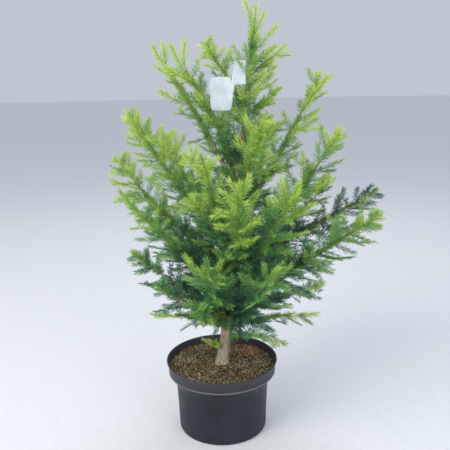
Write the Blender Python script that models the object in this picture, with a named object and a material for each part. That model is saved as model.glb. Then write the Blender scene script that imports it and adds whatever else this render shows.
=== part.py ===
"""A young yew grown as one upright leader, in the round black pot that it is sold in.

Frame: +Z up, metres. The origin is the middle of the pot's flat underside, which the plant stands on.
The front is towards -Y and the leader leans towards +X.

Pieces: the pot, the root ball that fills it, the trunk, a label looped round the trunk, one bough and one
mass of foliage for each large limb, and a mass alone for each slender limb. A mass is a stem with toothed
blades on it: each blade stands for a shoot with its two ranks of needles.
"""

import math
import random
from collections import namedtuple

import bmesh
import bpy
import numpy as np
from mathutils import Matrix, Vector

# ---------------------------------------------------------------- driving dimensions
GAP = 0.0003  # clear space between neighbours that touch

POT_RIM_RADIUS = 0.140
POT_BASE_RADIUS = 0.1115
POT_HEIGHT = 0.182
POT_LIP = 0.0018  # how far the lip stands out of the band
POT_WALL = 0.0022
POT_FLOOR = 0.0026
POT_TAPER = 0.0055  # how much wider the plain wall is at its shoulder than at its base
POT_EDGE = 0.0030  # height of the lip, and of the chamfer round the base
POT_BAND = 0.030  # height of the band under the rim
POT_BAND_RADIUS = POT_RIM_RADIUS - 0.0055  # at the band's lower edge
POT_BAND_STEP = 0.0030  # how far the wall draws in under the band
POT_SHOULDER = 0.056  # where the step under the band meets the plain wall, below the rim
POT_SIDES = 40
DRAIN_HOLES = 8
DRAIN_HOLE_RADIUS = 0.008
DRAIN_RING_RADIUS = 0.086

SOIL_BELOW_RIM = 0.015
SOIL_TOP = POT_HEIGHT - SOIL_BELOW_RIM
SOIL_FLAT_RADIUS = 0.024  # level patch that the trunk stands on
SOIL_FALL = 0.0040  # from there to SOIL_EDGE_RADIUS
SOIL_EDGE_RADIUS = 0.100
SOIL_WALL_FALL = 0.0030  # from there the soil rises a little again, to this depth at the wall

TRUNK_FOOT = Vector((0.0, 0.0, SOIL_TOP + GAP))
LEADER_TIP = Vector((0.093, 0.016, 1.038))
TRUNK_SHARE = 0.850  # how far up that line the wood goes before the leader's own green shoot
TRUNK_SWAY = 0.005
TRUNK_SWAYS = (8.5, 6.0)  # how fast it sways along X and Y, in radians up the whole line
TRUNK_RADIUS = 0.0145
TRUNK_TAPER = 0.85  # power that it thins by
TRUNK_TIP_RADIUS = 0.0024
FLARE_RADIUS = 0.0035
FLARE_HEIGHT = 0.014
TRUNK_SIDES = 12
TRUNK_RINGS = 15
TRUNK_RING_CROWDING = 1.35  # power that draws the rings down towards the flare

LIMB_RADIUS = 0.0022  # at the foot of a limb, with LIMB_THICKENING for each metre of its span
LIMB_THICKENING = 0.0085
LIMB_TAPER = 0.8
BOUGH_SIDES = 6
STEM_SIDES = 3
BOUGH_RINGS = 4
STEM_RINGS = 5
TIP_RADIUS = 0.0013  # a stem where its last shoot begins

SHOOT_SPACING = 0.038  # along a stem, from one side shoot to the next
SHOOTS_LEAST = 2
SHOOTS_END = 0.86  # share of the leafy part that bears side shoots
SHOOTS_FREE = 0.040  # length at its tip that the end shoot takes
GOLDEN_ANGLE = math.radians(137.5)
TURN_PLAY = 0.3  # radians either way
SWINGS = (0, 40, -40, 80, -80)  # degrees round the stem that a shoot with no room moves by
OPENING = (56, 36)  # degrees between stem and shoot, where the shoots begin and at the tip
OPENING_PLAY = 7
SHOOT_RISE = 0.10  # how much a shoot turns up towards the light
SHOOT_LENGTHS = (1.08, 0.66)  # of the limb's spread, where the shoots begin and at the tip
LENGTH_PLAY = (0.86, 1.12)
ROLL_PLAY = 60  # degrees that a blade may roll about its own length
SHOOT_LEAST = 0.030
SHORTENINGS = (1.0, 0.86, 0.72, 0.58, 0.46)  # tried in turn before a shoot is left out
END_LENGTH = 0.105  # of the shoot that ends a limb
END_SHARE = 0.45  # of a short limb, which has a shorter one
END_ROLL = (25, 75)
STEM_IN_END = 0.28  # share of the end shoot that the stem still runs in
SEED = 17  # with a limb's number, fixes its random draws
END_SEED = 1000  # sets a limb's last shoot apart from its side shoots

BLADE_WIDTH = 0.056  # across both ranks of needles
BLADE_SLIMNESS = 0.62  # widest that a short blade may be, as a share of its length
BLADE_STALK = 0.13  # share of the length before the first tooth
BLADE_LAST = 0.84  # share of the length where the last tooth begins
BLADE_TEETH_LEAST = 3
STALK_RADIUS = 0.0018  # also the height of a blade's crest over its middle
UNDERSIDE = -0.0012  # level of a blade's flat underside under its middle
RIB_SHARE = 0.10  # of a blade's half width, between its notches and its middle
TOOTH_PITCH = 0.0270
TOOTH_SWEEP = 1.25  # pitches that a tooth leans forward
TOOTH_END = 0.995  # share of the length that no tooth passes
TOOTH_LEAST = 0.48  # length of the teeth at a blade's ends, as a share of the longest

SPACE_MARGIN = 0.006  # how much nearer its own stem than any other a shoot's edge stays
PAST_TIP = 0.012  # how far a side shoot may reach out or up beyond its limb's tip
TRUNK_CLEARANCE = 0.004
LABEL_CLEARANCE = 0.010
RIM_CLEARANCE = 0.004  # over the pot
LOWEST = 0.030  # of any foliage beside the pot

LABEL_LEVEL = 0.866  # middle of the loop round the trunk
LABEL_THICKNESS = 0.0008
LABEL_SLACK = 0.0021  # between the trunk and its loop
LABEL_LOOP_HEIGHT = 0.010
LABEL_LOOP_STEPS = 12
LABEL_FLAG = (Vector((0.066, -0.018, 0.0)), Vector((0.041, -0.024, 0.0)))  # its two ends, seen from above
LABEL_FLAG_HEIGHT = 0.052
LABEL_FLAG_LIFT = 0.018
LABEL_TAG = (Vector((0.034, -0.026, 0.0)), Vector((-0.014, -0.036, 0.0)))
LABEL_TAG_STEPS = 6
LABEL_TAG_HEIGHT = 0.074
LABEL_TAG_ENDS = 0.70  # height of the tag's rounded ends, as a share of its middle
LABEL_TAG_DROP = 0.028
LABEL_TAG_CURL = 0.004

# One row for each limb. foot: height on the trunk; heading: degrees round from +X, seen from above;
# reach: from the pot's axis to the tip; height: of the tip; bow: sag under the straight line, as a share of
# its length; bough: share of the limb that is bare bough; spread: length of the longest side shoot.
Limb = namedtuple("Limb", "name foot heading reach height bow bough spread")
LIMBS = (
    # the top
    Limb("top_right", 0.880, 0, 0.165, 0.948, 0.05, 0.0, 0.060),
    Limb("leader_right", 0.790, 8, 0.150, 0.850, 0.10, 0.0, 0.069),
    Limb("leader_side", 0.700, 20, 0.165, 0.768, 0.06, 0.0, 0.081),
    Limb("upper_centre", 0.800, 108, 0.084, 0.966, 0.02, 0.0, 0.070),
    Limb("upper_left", 0.610, 169, 0.152, 0.954, -0.07, 0.30, 0.100),
    Limb("upper_left_inner", 0.660, 211, 0.116, 0.949, -0.06, 0.0, 0.092),
    # the left side
    Limb("left_plume", 0.470, 194, 0.209, 0.811, 0.10, 0.34, 0.132),
    Limb("left_middle", 0.420, 167, 0.267, 0.695, 0.12, 0.34, 0.132),
    Limb("left_outer", 0.370, 200, 0.240, 0.637, 0.12, 0.34, 0.127),
    Limb("left_low", 0.310, 175, 0.225, 0.464, 0.10, 0.0, 0.127),
    Limb("left_low_front", 0.285, 219, 0.192, 0.428, 0.08, 0.0, 0.121),
    Limb("left_drooping", 0.265, 196, 0.180, 0.322, -0.12, 0.0, 0.060),
    # the right side
    Limb("right_upper", 0.540, 11, 0.252, 0.888, 0.12, 0.34, 0.121),
    Limb("right_middle", 0.440, 350, 0.286, 0.763, 0.14, 0.34, 0.127),
    Limb("right_inner", 0.400, 22, 0.316, 0.630, 0.10, 0.34, 0.127),
    Limb("right_far", 0.420, 3, 0.393, 0.611, 0.03, 0.36, 0.110),
    Limb("right_outer", 0.350, 345, 0.382, 0.580, 0.08, 0.34, 0.120),
    Limb("right_low", 0.295, 13, 0.282, 0.356, 0.00, 0.30, 0.110),
    Limb("right_drooping", 0.262, 0, 0.251, 0.294, -0.10, 0.0, 0.065),
    # the front
    Limb("front_upper", 0.580, 301, 0.186, 0.788, 0.08, 0.0, 0.100),
    Limb("front_left", 0.460, 261, 0.222, 0.733, 0.12, 0.32, 0.127),
    Limb("front_middle", 0.400, 280, 0.264, 0.680, 0.14, 0.32, 0.132),
    Limb("front_right", 0.380, 305, 0.284, 0.670, 0.14, 0.32, 0.132),
    Limb("front_low", 0.300, 262, 0.235, 0.500, 0.10, 0.0, 0.127),
    Limb("front_low_right", 0.290, 296, 0.262, 0.490, 0.10, 0.28, 0.127),
    # the back
    Limb("back_upper", 0.625, 96, 0.170, 0.830, 0.08, 0.0, 0.115),
    Limb("back_left_upper", 0.480, 134, 0.215, 0.740, 0.10, 0.32, 0.127),
    Limb("back_right_upper", 0.470, 56, 0.255, 0.770, 0.12, 0.32, 0.127),
    Limb("back_left", 0.360, 140, 0.250, 0.560, 0.10, 0.32, 0.132),
    Limb("back_middle", 0.390, 98, 0.265, 0.640, 0.12, 0.32, 0.132),
    Limb("back_right", 0.350, 52, 0.300, 0.560, 0.10, 0.32, 0.132),
    Limb("back_low", 0.285, 102, 0.240, 0.430, 0.08, 0.0, 0.127),
    Limb("back_low_right", 0.280, 48, 0.265, 0.400, 0.06, 0.0, 0.121),
    # the foot of the trunk
    Limb("foot_right", 0.236, 318, 0.062, 0.262, 0.00, 0.0, 0.034),
    Limb("foot_left", 0.205, 232, 0.052, 0.246, 0.00, 0.0, 0.030),
    Limb("rim_right", 0.240, 8, 0.168, 0.206, -0.12, 0.0, 0.034),
)
LEADER = Limb("leader", 0.0, 0, 0.140, LEADER_TIP.z, 0.0, 0.0, 0.085)


# ---------------------------------------------------------------- small helpers
def clear_scene():
    for obj in list(bpy.data.objects):
        bpy.data.objects.remove(obj, do_unlink=True)


def principled(name, colour, roughness):
    """A plain material: colour is linear red, green and blue."""
    material = bpy.data.materials.new(name)
    material.use_nodes = True
    shader = material.node_tree.nodes["Principled BSDF"]
    shader.inputs["Base Color"].default_value = (*colour, 1.0)
    shader.inputs["Roughness"].default_value = roughness
    shader.inputs["Metallic"].default_value = 0.0
    material.diffuse_color = (*colour, 1.0)
    return material


def object_from(bm, name, material=None, smooth_angle=None):
    bmesh.ops.recalc_face_normals(bm, faces=bm.faces)
    mesh = bpy.data.meshes.new(name)
    bm.to_mesh(mesh)
    bm.free()
    if material:
        mesh.materials.append(material)
    if smooth_angle is not None:
        mesh.shade_smooth()
        mesh.set_sharp_from_angle(angle=math.radians(smooth_angle))
    obj = bpy.data.objects.new(name, mesh)
    bpy.context.scene.collection.objects.link(obj)
    return obj


def turned(name, profile, sides, material):
    """The closed outline of (radius, height) points, spun all the way round the pot's axis."""
    bm = bmesh.new()
    corners = [bm.verts.new((radius, 0.0, height)) for radius, height in profile]
    edges = [bm.edges.new(pair) for pair in zip(corners, corners[1:])]
    bmesh.ops.spin(
        bm,
        geom=corners + edges,
        cent=(0, 0, 0),
        axis=(0, 0, 1),
        angle=math.tau,
        steps=sides,
        use_merge=True,
    )
    bmesh.ops.remove_doubles(bm, verts=bm.verts, dist=1e-6)
    return object_from(bm, name, material, smooth_angle=35)


def ring_frame(point, direction, radius, side):
    """Takes the unit circle to a ring of this radius round point, square to direction and turned to side."""
    across = (side - direction * side.dot(direction)).normalized()
    up = direction.cross(across)
    turn = Matrix((across, up, direction)).transposed().to_4x4()
    return Matrix.Translation(point) @ turn @ Matrix.Diagonal((radius, radius, 1.0, 1.0))


def rod(points, radii, sides, side, cut=None):
    """A tapering limb through points. cut, a (point, normal) plane, trims its first ring to what it meets."""
    count = len(points)
    steps = [points[min(i + 1, count - 1)] - points[max(i - 1, 0)] for i in range(count)]
    frames = [ring_frame(p, s.normalized(), r, side) for p, s, r in zip(points, steps, radii)]
    bm = bmesh.new()
    bmesh.ops.create_circle(bm, cap_ends=True, segments=sides, radius=1.0, matrix=frames[0])
    bm.faces.ensure_lookup_table()
    first_ring = list(bm.verts)
    butt = end = bm.faces[0]
    for last, following in zip(frames, frames[1:]):
        inner = end
        grown = bmesh.ops.extrude_face_region(bm, geom=[end])["geom"]
        end = next(part for part in grown if isinstance(part, bmesh.types.BMFace))
        bmesh.ops.transform(bm, matrix=following @ last.inverted(), verts=list(end.verts))
        if inner is not butt:
            bmesh.ops.delete(bm, geom=[inner], context="FACES_ONLY")
    if cut:
        along = steps[0].normalized()
        for vert in first_ring:
            vert.co += along * ((cut[0] - vert.co).dot(cut[1]) / along.dot(cut[1]))
    return bm


# ---------------------------------------------------------------- where the limbs run
def trunk_point(share):
    """A point of the trunk's line, which runs on through the leader to its tip at share 1."""
    across, back = TRUNK_SWAYS
    sway = Vector((math.sin(share * across), math.cos(share * back) - 1.0, 0.0))
    return TRUNK_FOOT.lerp(LEADER_TIP, share) + sway * TRUNK_SWAY * (1 - share)


def trunk_share(height):
    return (height - TRUNK_FOOT.z) / (LEADER_TIP.z - TRUNK_FOOT.z)


def trunk_radius(share):
    height = share * (LEADER_TIP.z - TRUNK_FOOT.z)
    taper = (1 - share / TRUNK_SHARE) ** TRUNK_TAPER if share < TRUNK_SHARE else 0.0
    flare = FLARE_RADIUS * math.exp(-height / FLARE_HEIGHT)
    return TRUNK_TIP_RADIUS + (TRUNK_RADIUS - TRUNK_TIP_RADIUS) * taper + flare


class Line:
    """The curve that one limb follows, from the trunk's axis (0) to its tip (1)."""

    def __init__(self, limb):
        self.limb = limb
        if limb is LEADER:
            self.foot = trunk_point(TRUNK_SHARE)
            self.tip = LEADER_TIP.copy()
            self.bend = self.foot.lerp(self.tip, 0.5)
            self.start = 0.0
            self.radius = TRUNK_TIP_RADIUS
            return
        turn = math.radians(limb.heading)
        self.foot = trunk_point(trunk_share(limb.foot))
        self.tip = Vector((limb.reach * math.cos(turn), limb.reach * math.sin(turn), limb.height))
        span = self.tip - self.foot
        self.bend = self.foot + span * 0.5 - Vector((0, 0, limb.bow * span.length))
        self.radius = LIMB_RADIUS + LIMB_THICKENING * span.length
        self.start = self.leaves_trunk()

    def leaves_trunk(self):
        """The share of the curve that lies inside the trunk."""
        share = 0.0
        while share < 0.5:
            spot = self.point(share)
            on_trunk = trunk_share(spot.z)
            away = spot - trunk_point(on_trunk)
            if Vector((away.x, away.y, 0)).length > trunk_radius(on_trunk) + GAP:
                return share
            share += 0.001
        return share

    def point(self, share):
        return self.foot.lerp(self.bend, share).lerp(self.bend.lerp(self.tip, share), share)

    def heading(self, share):
        return (self.bend.lerp(self.tip, share) - self.foot.lerp(self.bend, share)).normalized()

    def radius_at(self, share):
        return TIP_RADIUS + (self.radius - TIP_RADIUS) * (1 - share) ** LIMB_TAPER

    def length(self):
        return sum((self.point((i + 1) / 20) - self.point(i / 20)).length for i in range(20))

    def side(self):
        """Level, and square to the limb: the way its rings are turned."""
        run = self.tip - self.foot
        across = Vector((-run.y, run.x, 0.0))
        return across.normalized() if across.length > 0.02 else Vector((0.0, 1.0, 0.0))

    def parting(self):
        """Where bough gives way to foliage."""
        return max(self.limb.bough, self.start)


def sections(line, first, last, rings):
    shares = [first + (last - first) * i / (rings - 1) for i in range(rings)]
    return [line.point(s) for s in shares], [line.radius_at(s) for s in shares]


def trunk_cut(line):
    """The plane, just clear of the trunk, that a limb's butt is trimmed to."""
    spot = line.point(line.start)
    on_trunk = trunk_share(spot.z)
    axis = (trunk_point(on_trunk + 0.01) - trunk_point(on_trunk - 0.01)).normalized()
    out = line.tip - line.foot
    out = (out - axis * out.dot(axis)).normalized()
    clear = trunk_radius(on_trunk - 0.012) + GAP
    return trunk_point(on_trunk) + out * clear, out


# ---------------------------------------------------------------- a shoot and its blade
Shoot = namedtuple("Shoot", "base heading face length width")


def blade_stations(shoot):
    """Shares of the length where a tooth begins. The stalk comes before the first, the tip after the last."""
    leafy = BLADE_LAST - BLADE_STALK
    teeth = max(BLADE_TEETH_LEAST, round(shoot.length * leafy / TOOTH_PITCH))
    return [BLADE_STALK + leafy * i / teeth for i in range(teeth + 1)]


def tooth_length(share):
    """Teeth are shorter towards the two ends of a blade, as a share of the longest."""
    return TOOTH_LEAST + (1 - TOOTH_LEAST) * math.sin(math.pi * (0.20 + share * 0.68))


def blade(shoot):
    """A thin toothed blade with a flat underside, thickest along its middle, on a three-sided stalk."""
    across = shoot.heading.cross(shoot.face).normalized()
    up = across.cross(shoot.heading).normalized()
    half = shoot.width / 2
    bm = bmesh.new()

    def corner(along, out, lift):
        return bm.verts.new(shoot.base + shoot.heading * (shoot.length * along) + across * out + up * lift)

    stations = [0.0] + blade_stations(shoot)
    pitch = stations[2] - stations[1]
    ribs = [STALK_RADIUS] + [STALK_RADIUS + half * RIB_SHARE] * (len(stations) - 1)
    crest = [corner(share, 0, STALK_RADIUS) for share in stations]
    edges = [[corner(s, hand * rib, UNDERSIDE) for s, rib in zip(stations, ribs)] for hand in (-1, 1)]
    tip = corner(1.0, 0, 0)
    bm.faces.new((crest[0], edges[0][0], edges[1][0]))
    for near in range(len(stations) - 1):
        far = near + 1
        bm.faces.new((edges[0][near], edges[0][far], edges[1][far], edges[1][near]))
        for hand, edge in zip((-1, 1), edges):
            if near == 0:
                bm.faces.new((crest[near], edge[near], edge[far], crest[far]))
                continue
            ahead = min(stations[near] + pitch * TOOTH_SWEEP, TOOTH_END)
            tooth = corner(ahead, hand * half * tooth_length(stations[near]), UNDERSIDE)
            bm.faces.new((crest[near], edge[near], tooth))
            bm.faces.new((crest[near], tooth, edge[far]))
            bm.faces.new((crest[near], edge[far], crest[far]))
            bm.faces.new((edge[near], edge[far], tooth))
    for edge in edges:
        bm.faces.new((crest[-1], edge[-1], tip))
    bm.faces.new((edges[0][-1], edges[1][-1], tip))
    return bm


def blade_edge(shoot):
    """Points round the blade's edge and down its middle, for the tests of space."""
    across = shoot.heading.cross(shoot.face).normalized()
    half = shoot.width / 2
    spots = []
    for share in (0.3, 0.5, 0.7, 0.9):
        middle = shoot.base + shoot.heading * (shoot.length * share)
        spots += [middle, middle + across * half, middle - across * half]
    spots.append(shoot.base + shoot.heading * shoot.length)
    return spots


# ---------------------------------------------------------------- the rule that the foliage grows by
class Space:
    """Each limb's foliage keeps to the space that lies nearer to its own line than to any other limb's."""

    def __init__(self, lines, label):
        self.limbs = [line.limb for line in lines]
        self.label = label
        spots = []
        owners = []
        for number, line in enumerate(lines):
            for i in range(61):
                spots.append(line.point(i / 60))
                owners.append(number)
        self.spots = np.array(spots)
        self.owners = np.array(owners)
        shares = [i / 120 for i in range(int(120 * TRUNK_SHARE) + 1)]
        self.trunk = np.array([trunk_point(s) for s in shares])
        self.trunk_radii = np.array([trunk_radius(s) for s in shares])

    def holds(self, number, points):
        places = np.array(points)
        gaps = np.linalg.norm(places[:, None, :] - self.spots[None, :, :], axis=2)
        own = gaps[:, self.owners == number].min(axis=1)
        others = gaps[:, self.owners != number].min(axis=1)
        if (own + SPACE_MARGIN > others).any():
            return False
        limb = self.limbs[number]
        out = np.hypot(places[:, 0], places[:, 1])
        if out.max() > limb.reach + PAST_TIP or places[:, 2].max() > limb.height + PAST_TIP:
            return False
        trunk_gaps = np.linalg.norm(places[:, None, :] - self.trunk[None, :, :], axis=2) - self.trunk_radii
        if trunk_gaps.min() < TRUNK_CLEARANCE:
            return False
        floor = np.where(out < POT_RIM_RADIUS + 0.010, POT_HEIGHT + RIM_CLEARANCE, LOWEST)
        return bool((places[:, 2] > floor).all()) and not self.near_label(places)

    def near_label(self, places):
        """Whether any of these points comes too near the label."""
        for spot, half, lift in self.label:
            beside = np.hypot(places[:, 0] - spot.x, places[:, 1] - spot.y) < LABEL_CLEARANCE
            level = np.abs(places[:, 2] - LABEL_LEVEL - lift) < half + LABEL_CLEARANCE
            if (beside & level).any():
                return True
        return False


def between(ends, share):
    return ends[0] + (ends[1] - ends[0]) * share


def side_shoots(line, number, space):
    """A limb's side shoots, a golden angle apart round its stem. One with no room looks for it nearby."""
    draw = random.Random(SEED * END_SEED + number)
    first = line.parting()
    reach = line.length() * (1 - first)
    count = max(SHOOTS_LEAST, round((reach - SHOOTS_FREE) / SHOOT_SPACING))
    phase = draw.uniform(0, math.tau)
    shoots = []
    for i in range(count):
        along = (i + 0.6) / (count + 0.3)
        share = first + (1 - first) * along * SHOOTS_END
        turn = phase + i * GOLDEN_ANGLE + draw.uniform(-TURN_PLAY, TURN_PLAY)
        opening = math.radians(between(OPENING, along) + draw.uniform(-OPENING_PLAY, OPENING_PLAY))
        full = line.limb.spread * between(SHOOT_LENGTHS, along) * draw.uniform(*LENGTH_PLAY)
        roll = math.radians(draw.uniform(-ROLL_PLAY, ROLL_PLAY))
        longest = None
        for swing in SWINGS:
            way = shoot_way(line, share, turn + math.radians(swing), opening)
            shoot = fitted(line.point(share), way, roll, full, number, space)
            if shoot and (longest is None or shoot.length > longest.length):
                longest = shoot
        if longest:
            shoots.append(longest)
    return shoots


def shoot_way(line, share, turn, opening):
    """The way a shoot grows: turned round the stem from level, and opened from it."""
    heading = line.heading(share)
    level = line.side()
    lift = heading.cross(level).normalized()
    if lift.z < 0:
        lift = -lift
    out = level * math.cos(turn) + lift * math.sin(turn)
    rise = Vector((0, 0, SHOOT_RISE))
    return (heading * math.cos(opening) + out * math.sin(opening) + rise).normalized()


def blade_face(heading, roll):
    """The way a blade's flat side looks: up and square to the shoot, then rolled about it."""
    up = Vector((0, 0, 1)) - heading * heading.z
    if up.length < 0.2:
        up = Vector((0, -1, 0)) + heading * heading.y
    return Matrix.Rotation(roll, 3, heading) @ up.normalized()


def fitted(base, heading, roll, full, number, space):
    """The longest shoot, of those tried, that stays in its limb's space."""
    for share in SHORTENINGS:
        length = full * share
        width = min(BLADE_WIDTH, length * BLADE_SLIMNESS)
        shoot = Shoot(base, heading, blade_face(heading, roll), length, width)
        if length > SHOOT_LEAST and space.holds(number, blade_edge(shoot)):
            return shoot
    return None


def end_shoot(line, number):
    """The shoot that ends a limb: it starts in the stem and reaches the limb's tip."""
    draw = random.Random(SEED * END_SEED + END_SEED // 2 + number)
    length = min(END_LENGTH, line.length() * END_SHARE)
    heading = line.heading(1 - length / line.length() / 2)
    roll = math.radians(draw.uniform(*END_ROLL) * draw.choice((-1, 1)))
    return Shoot(line.tip - heading * length, heading, blade_face(heading, roll), length, BLADE_WIDTH)


# ---------------------------------------------------------------- joining one mass
def one_body(mesh):
    """Keeps the largest body of a mesh, so that no loose scrap and no sealed hollow is left."""
    bm = bmesh.new()
    bm.from_mesh(mesh)
    left = set(bm.verts)
    bodies = []
    while left:
        seed = left.pop()
        body = {seed}
        edge = [seed]
        while edge:
            vert = edge.pop()
            for link in vert.link_edges:
                other = link.other_vert(vert)
                if other in left:
                    left.remove(other)
                    body.add(other)
                    edge.append(other)
        bodies.append(body)
    largest = max(bodies, key=len)
    loose = [vert for body in bodies if body is not largest for vert in body]
    bmesh.ops.delete(bm, geom=loose, context="VERTS")
    bm.to_mesh(mesh)
    bm.free()


def fused(name, stem, parts, material):
    """One closed mesh of a stem and its blades, by one Boolean union on a collection."""
    pieces = bpy.data.collections.new(name + "_pieces")
    bpy.context.scene.collection.children.link(pieces)
    for i, part in enumerate(parts):
        piece = object_from(part, f"{name}_piece_{i}")
        bpy.context.scene.collection.objects.unlink(piece)
        pieces.objects.link(piece)
    body = object_from(stem, name + "_stem")
    union = body.modifiers.new("union", "BOOLEAN")
    union.operation = "UNION"
    union.operand_type = "COLLECTION"
    union.collection = pieces
    graph = bpy.context.evaluated_depsgraph_get()
    mesh = bpy.data.meshes.new_from_object(body.evaluated_get(graph))
    mesh.name = name
    one_body(mesh)
    mesh.materials.clear()
    mesh.materials.append(material)
    joined = bpy.data.objects.new(name, mesh)
    bpy.context.scene.collection.objects.link(joined)
    for piece in list(pieces.objects) + [body]:
        bpy.data.objects.remove(piece, do_unlink=True)
    bpy.data.collections.remove(pieces)
    return joined


# ---------------------------------------------------------------- the pot and what fills it
def pot_profile():
    """The wall's outline: from mid-underside up the outside, over the rim and down the inside."""
    band_foot = POT_HEIGHT - POT_BAND
    shoulder = POT_HEIGHT - POT_SHOULDER
    wall_top = POT_BASE_RADIUS + POT_TAPER
    outside = [
        (0.0, 0.0),
        (POT_BASE_RADIUS - POT_EDGE, 0.0),
        (POT_BASE_RADIUS, POT_EDGE),
        (wall_top, shoulder),
        (POT_BAND_RADIUS - POT_BAND_STEP, band_foot - POT_BAND_STEP),
        (POT_BAND_RADIUS, band_foot),
        (POT_RIM_RADIUS - POT_LIP, POT_HEIGHT - POT_EDGE),
        (POT_RIM_RADIUS, POT_HEIGHT - POT_EDGE),
        (POT_RIM_RADIUS, POT_HEIGHT),
    ]
    inside = [
        (POT_RIM_RADIUS - POT_LIP - POT_WALL, POT_HEIGHT),
        (POT_BAND_RADIUS - POT_WALL, band_foot + 0.0010),
        (wall_top - POT_WALL, shoulder - 0.0010),
        (POT_BASE_RADIUS - POT_WALL, POT_FLOOR),
        (0.0, POT_FLOOR),
    ]
    return outside, inside


def make_pot():
    black = principled("black_moulded_polypropylene", (0.013, 0.015, 0.020), 0.45)
    outside, inside = pot_profile()
    pot = turned("pot", outside + inside, POT_SIDES, black)
    for i in range(DRAIN_HOLES):
        turn = math.tau * (i + 0.5) / DRAIN_HOLES
        bm = bmesh.new()
        bmesh.ops.create_cone(
            bm,
            cap_ends=True,
            segments=8,
            radius1=DRAIN_HOLE_RADIUS,
            radius2=DRAIN_HOLE_RADIUS,
            depth=POT_FLOOR * 4,
        )
        cutter = object_from(bm, f"drain_cutter_{i}")
        cutter.location = (DRAIN_RING_RADIUS * math.cos(turn), DRAIN_RING_RADIUS * math.sin(turn), 0.0)
        cutter.hide_render = True
        cutter.display_type = "WIRE"
        hole = pot.modifiers.new(f"drain_hole_{i}", "BOOLEAN")
        hole.operation = "DIFFERENCE"
        hole.object = cutter


def make_root_ball():
    """Potting compost, level round the trunk and a little lower towards the wall, which it stays clear of."""
    brown = principled("potting_compost", (0.060, 0.045, 0.022), 0.95)
    _, inside = pot_profile()
    rim, band, shoulder, floor = inside[:4]
    edge_height = SOIL_TOP - SOIL_WALL_FALL
    edge_radius = band[0] + (rim[0] - band[0]) * (edge_height - band[1]) / (rim[1] - band[1])
    clear = GAP * 1.2  # level gap to a wall that leans out
    outline = [
        (0.0, floor[1] + GAP),
        (floor[0] - clear, floor[1] + GAP),
        (shoulder[0] - clear, shoulder[1]),
        (band[0] - clear, band[1]),
        (edge_radius - clear, edge_height),
        (SOIL_EDGE_RADIUS, SOIL_TOP - SOIL_FALL),
        (SOIL_FLAT_RADIUS, SOIL_TOP),
        (0.0, SOIL_TOP),
    ]
    turned("root_ball", outline, POT_SIDES, brown)


def make_trunk():
    bark = principled("yew_bark", (0.30, 0.22, 0.15), 0.85)
    steps = [i / (TRUNK_RINGS - 1) for i in range(TRUNK_RINGS)]
    shares = [TRUNK_SHARE * step**TRUNK_RING_CROWDING for step in steps]
    points = [trunk_point(s) for s in shares]
    radii = [trunk_radius(s) for s in shares]
    level = (points[0], Vector((0, 0, 1)))
    bm = rod(points, radii, TRUNK_SIDES, Vector((1, 0, 0)), cut=level)
    object_from(bm, "trunk", bark, smooth_angle=50)
    return bark


# ---------------------------------------------------------------- the label
def label_route():
    """(point seen from above, half height, lift) along the label, from its loop to the tag's far edge."""
    share = trunk_share(LABEL_LEVEL)
    centre = trunk_point(share)
    loop = trunk_radius(share) + LABEL_SLACK + LABEL_THICKNESS / 2
    seat = Vector((centre.x + LABEL_SLACK / 2, centre.y, 0.0))
    route = []
    for i in range(LABEL_LOOP_STEPS + 1):
        turn = math.radians(205 - 340 * i / LABEL_LOOP_STEPS)
        spot = seat + Vector((math.cos(turn), math.sin(turn), 0.0)) * loop
        route.append((spot, LABEL_LOOP_HEIGHT / 2, 0.0))
    hook = route[-1][0]
    flag_near, flag_far = LABEL_FLAG
    route.append((hook.lerp(flag_near, 0.5), LABEL_LOOP_HEIGHT / 2, 0.0))
    for i in range(3):
        route.append((flag_near.lerp(flag_far, i / 2), LABEL_FLAG_HEIGHT / 2, LABEL_FLAG_LIFT))
    tag_near, tag_far = LABEL_TAG
    for i in range(LABEL_TAG_STEPS + 1):
        share = i / LABEL_TAG_STEPS
        rounding = math.sqrt(max(0.0, 1 - (2 * share - 1) ** 6))
        half = LABEL_TAG_HEIGHT / 2 * (LABEL_TAG_ENDS + (1 - LABEL_TAG_ENDS) * rounding)
        curl = Vector((0.0, LABEL_TAG_CURL * math.sin(math.pi * share), 0.0))
        route.append((tag_near.lerp(tag_far, share) + curl, half, -LABEL_TAG_DROP))
    return route


def make_label(route):
    white = principled("white_polypropylene_sheet", (0.85, 0.87, 0.90), 0.4)
    bm = bmesh.new()
    strips = []
    for i, (spot, half, lift) in enumerate(route):
        before = route[max(i - 1, 0)][0]
        after = route[min(i + 1, len(route) - 1)][0]
        along = (after - before).normalized()
        out = Vector((along.y, -along.x, 0.0)) * LABEL_THICKNESS / 2
        low = Vector((0, 0, LABEL_LEVEL + lift - half))
        high = Vector((0, 0, LABEL_LEVEL + lift + half))
        square = ((1, low), (1, high), (-1, high), (-1, low))
        strips.append([bm.verts.new(spot + out * hand + end) for hand, end in square])
    bm.faces.new(strips[0])
    bm.faces.new(strips[-1])
    for near, far in zip(strips, strips[1:]):
        for i in range(4):
            bm.faces.new((near[i], near[(i + 1) % 4], far[(i + 1) % 4], far[i]))
    object_from(bm, "plant_label", white, smooth_angle=50)


# ---------------------------------------------------------------- the whole plant
def make_bough(line, bark):
    points, radii = sections(line, line.start, line.limb.bough, BOUGH_RINGS)
    bm = rod(points, radii, BOUGH_SIDES, line.side(), cut=trunk_cut(line))
    object_from(bm, line.limb.name + "_bough", bark, smooth_angle=50)


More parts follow.
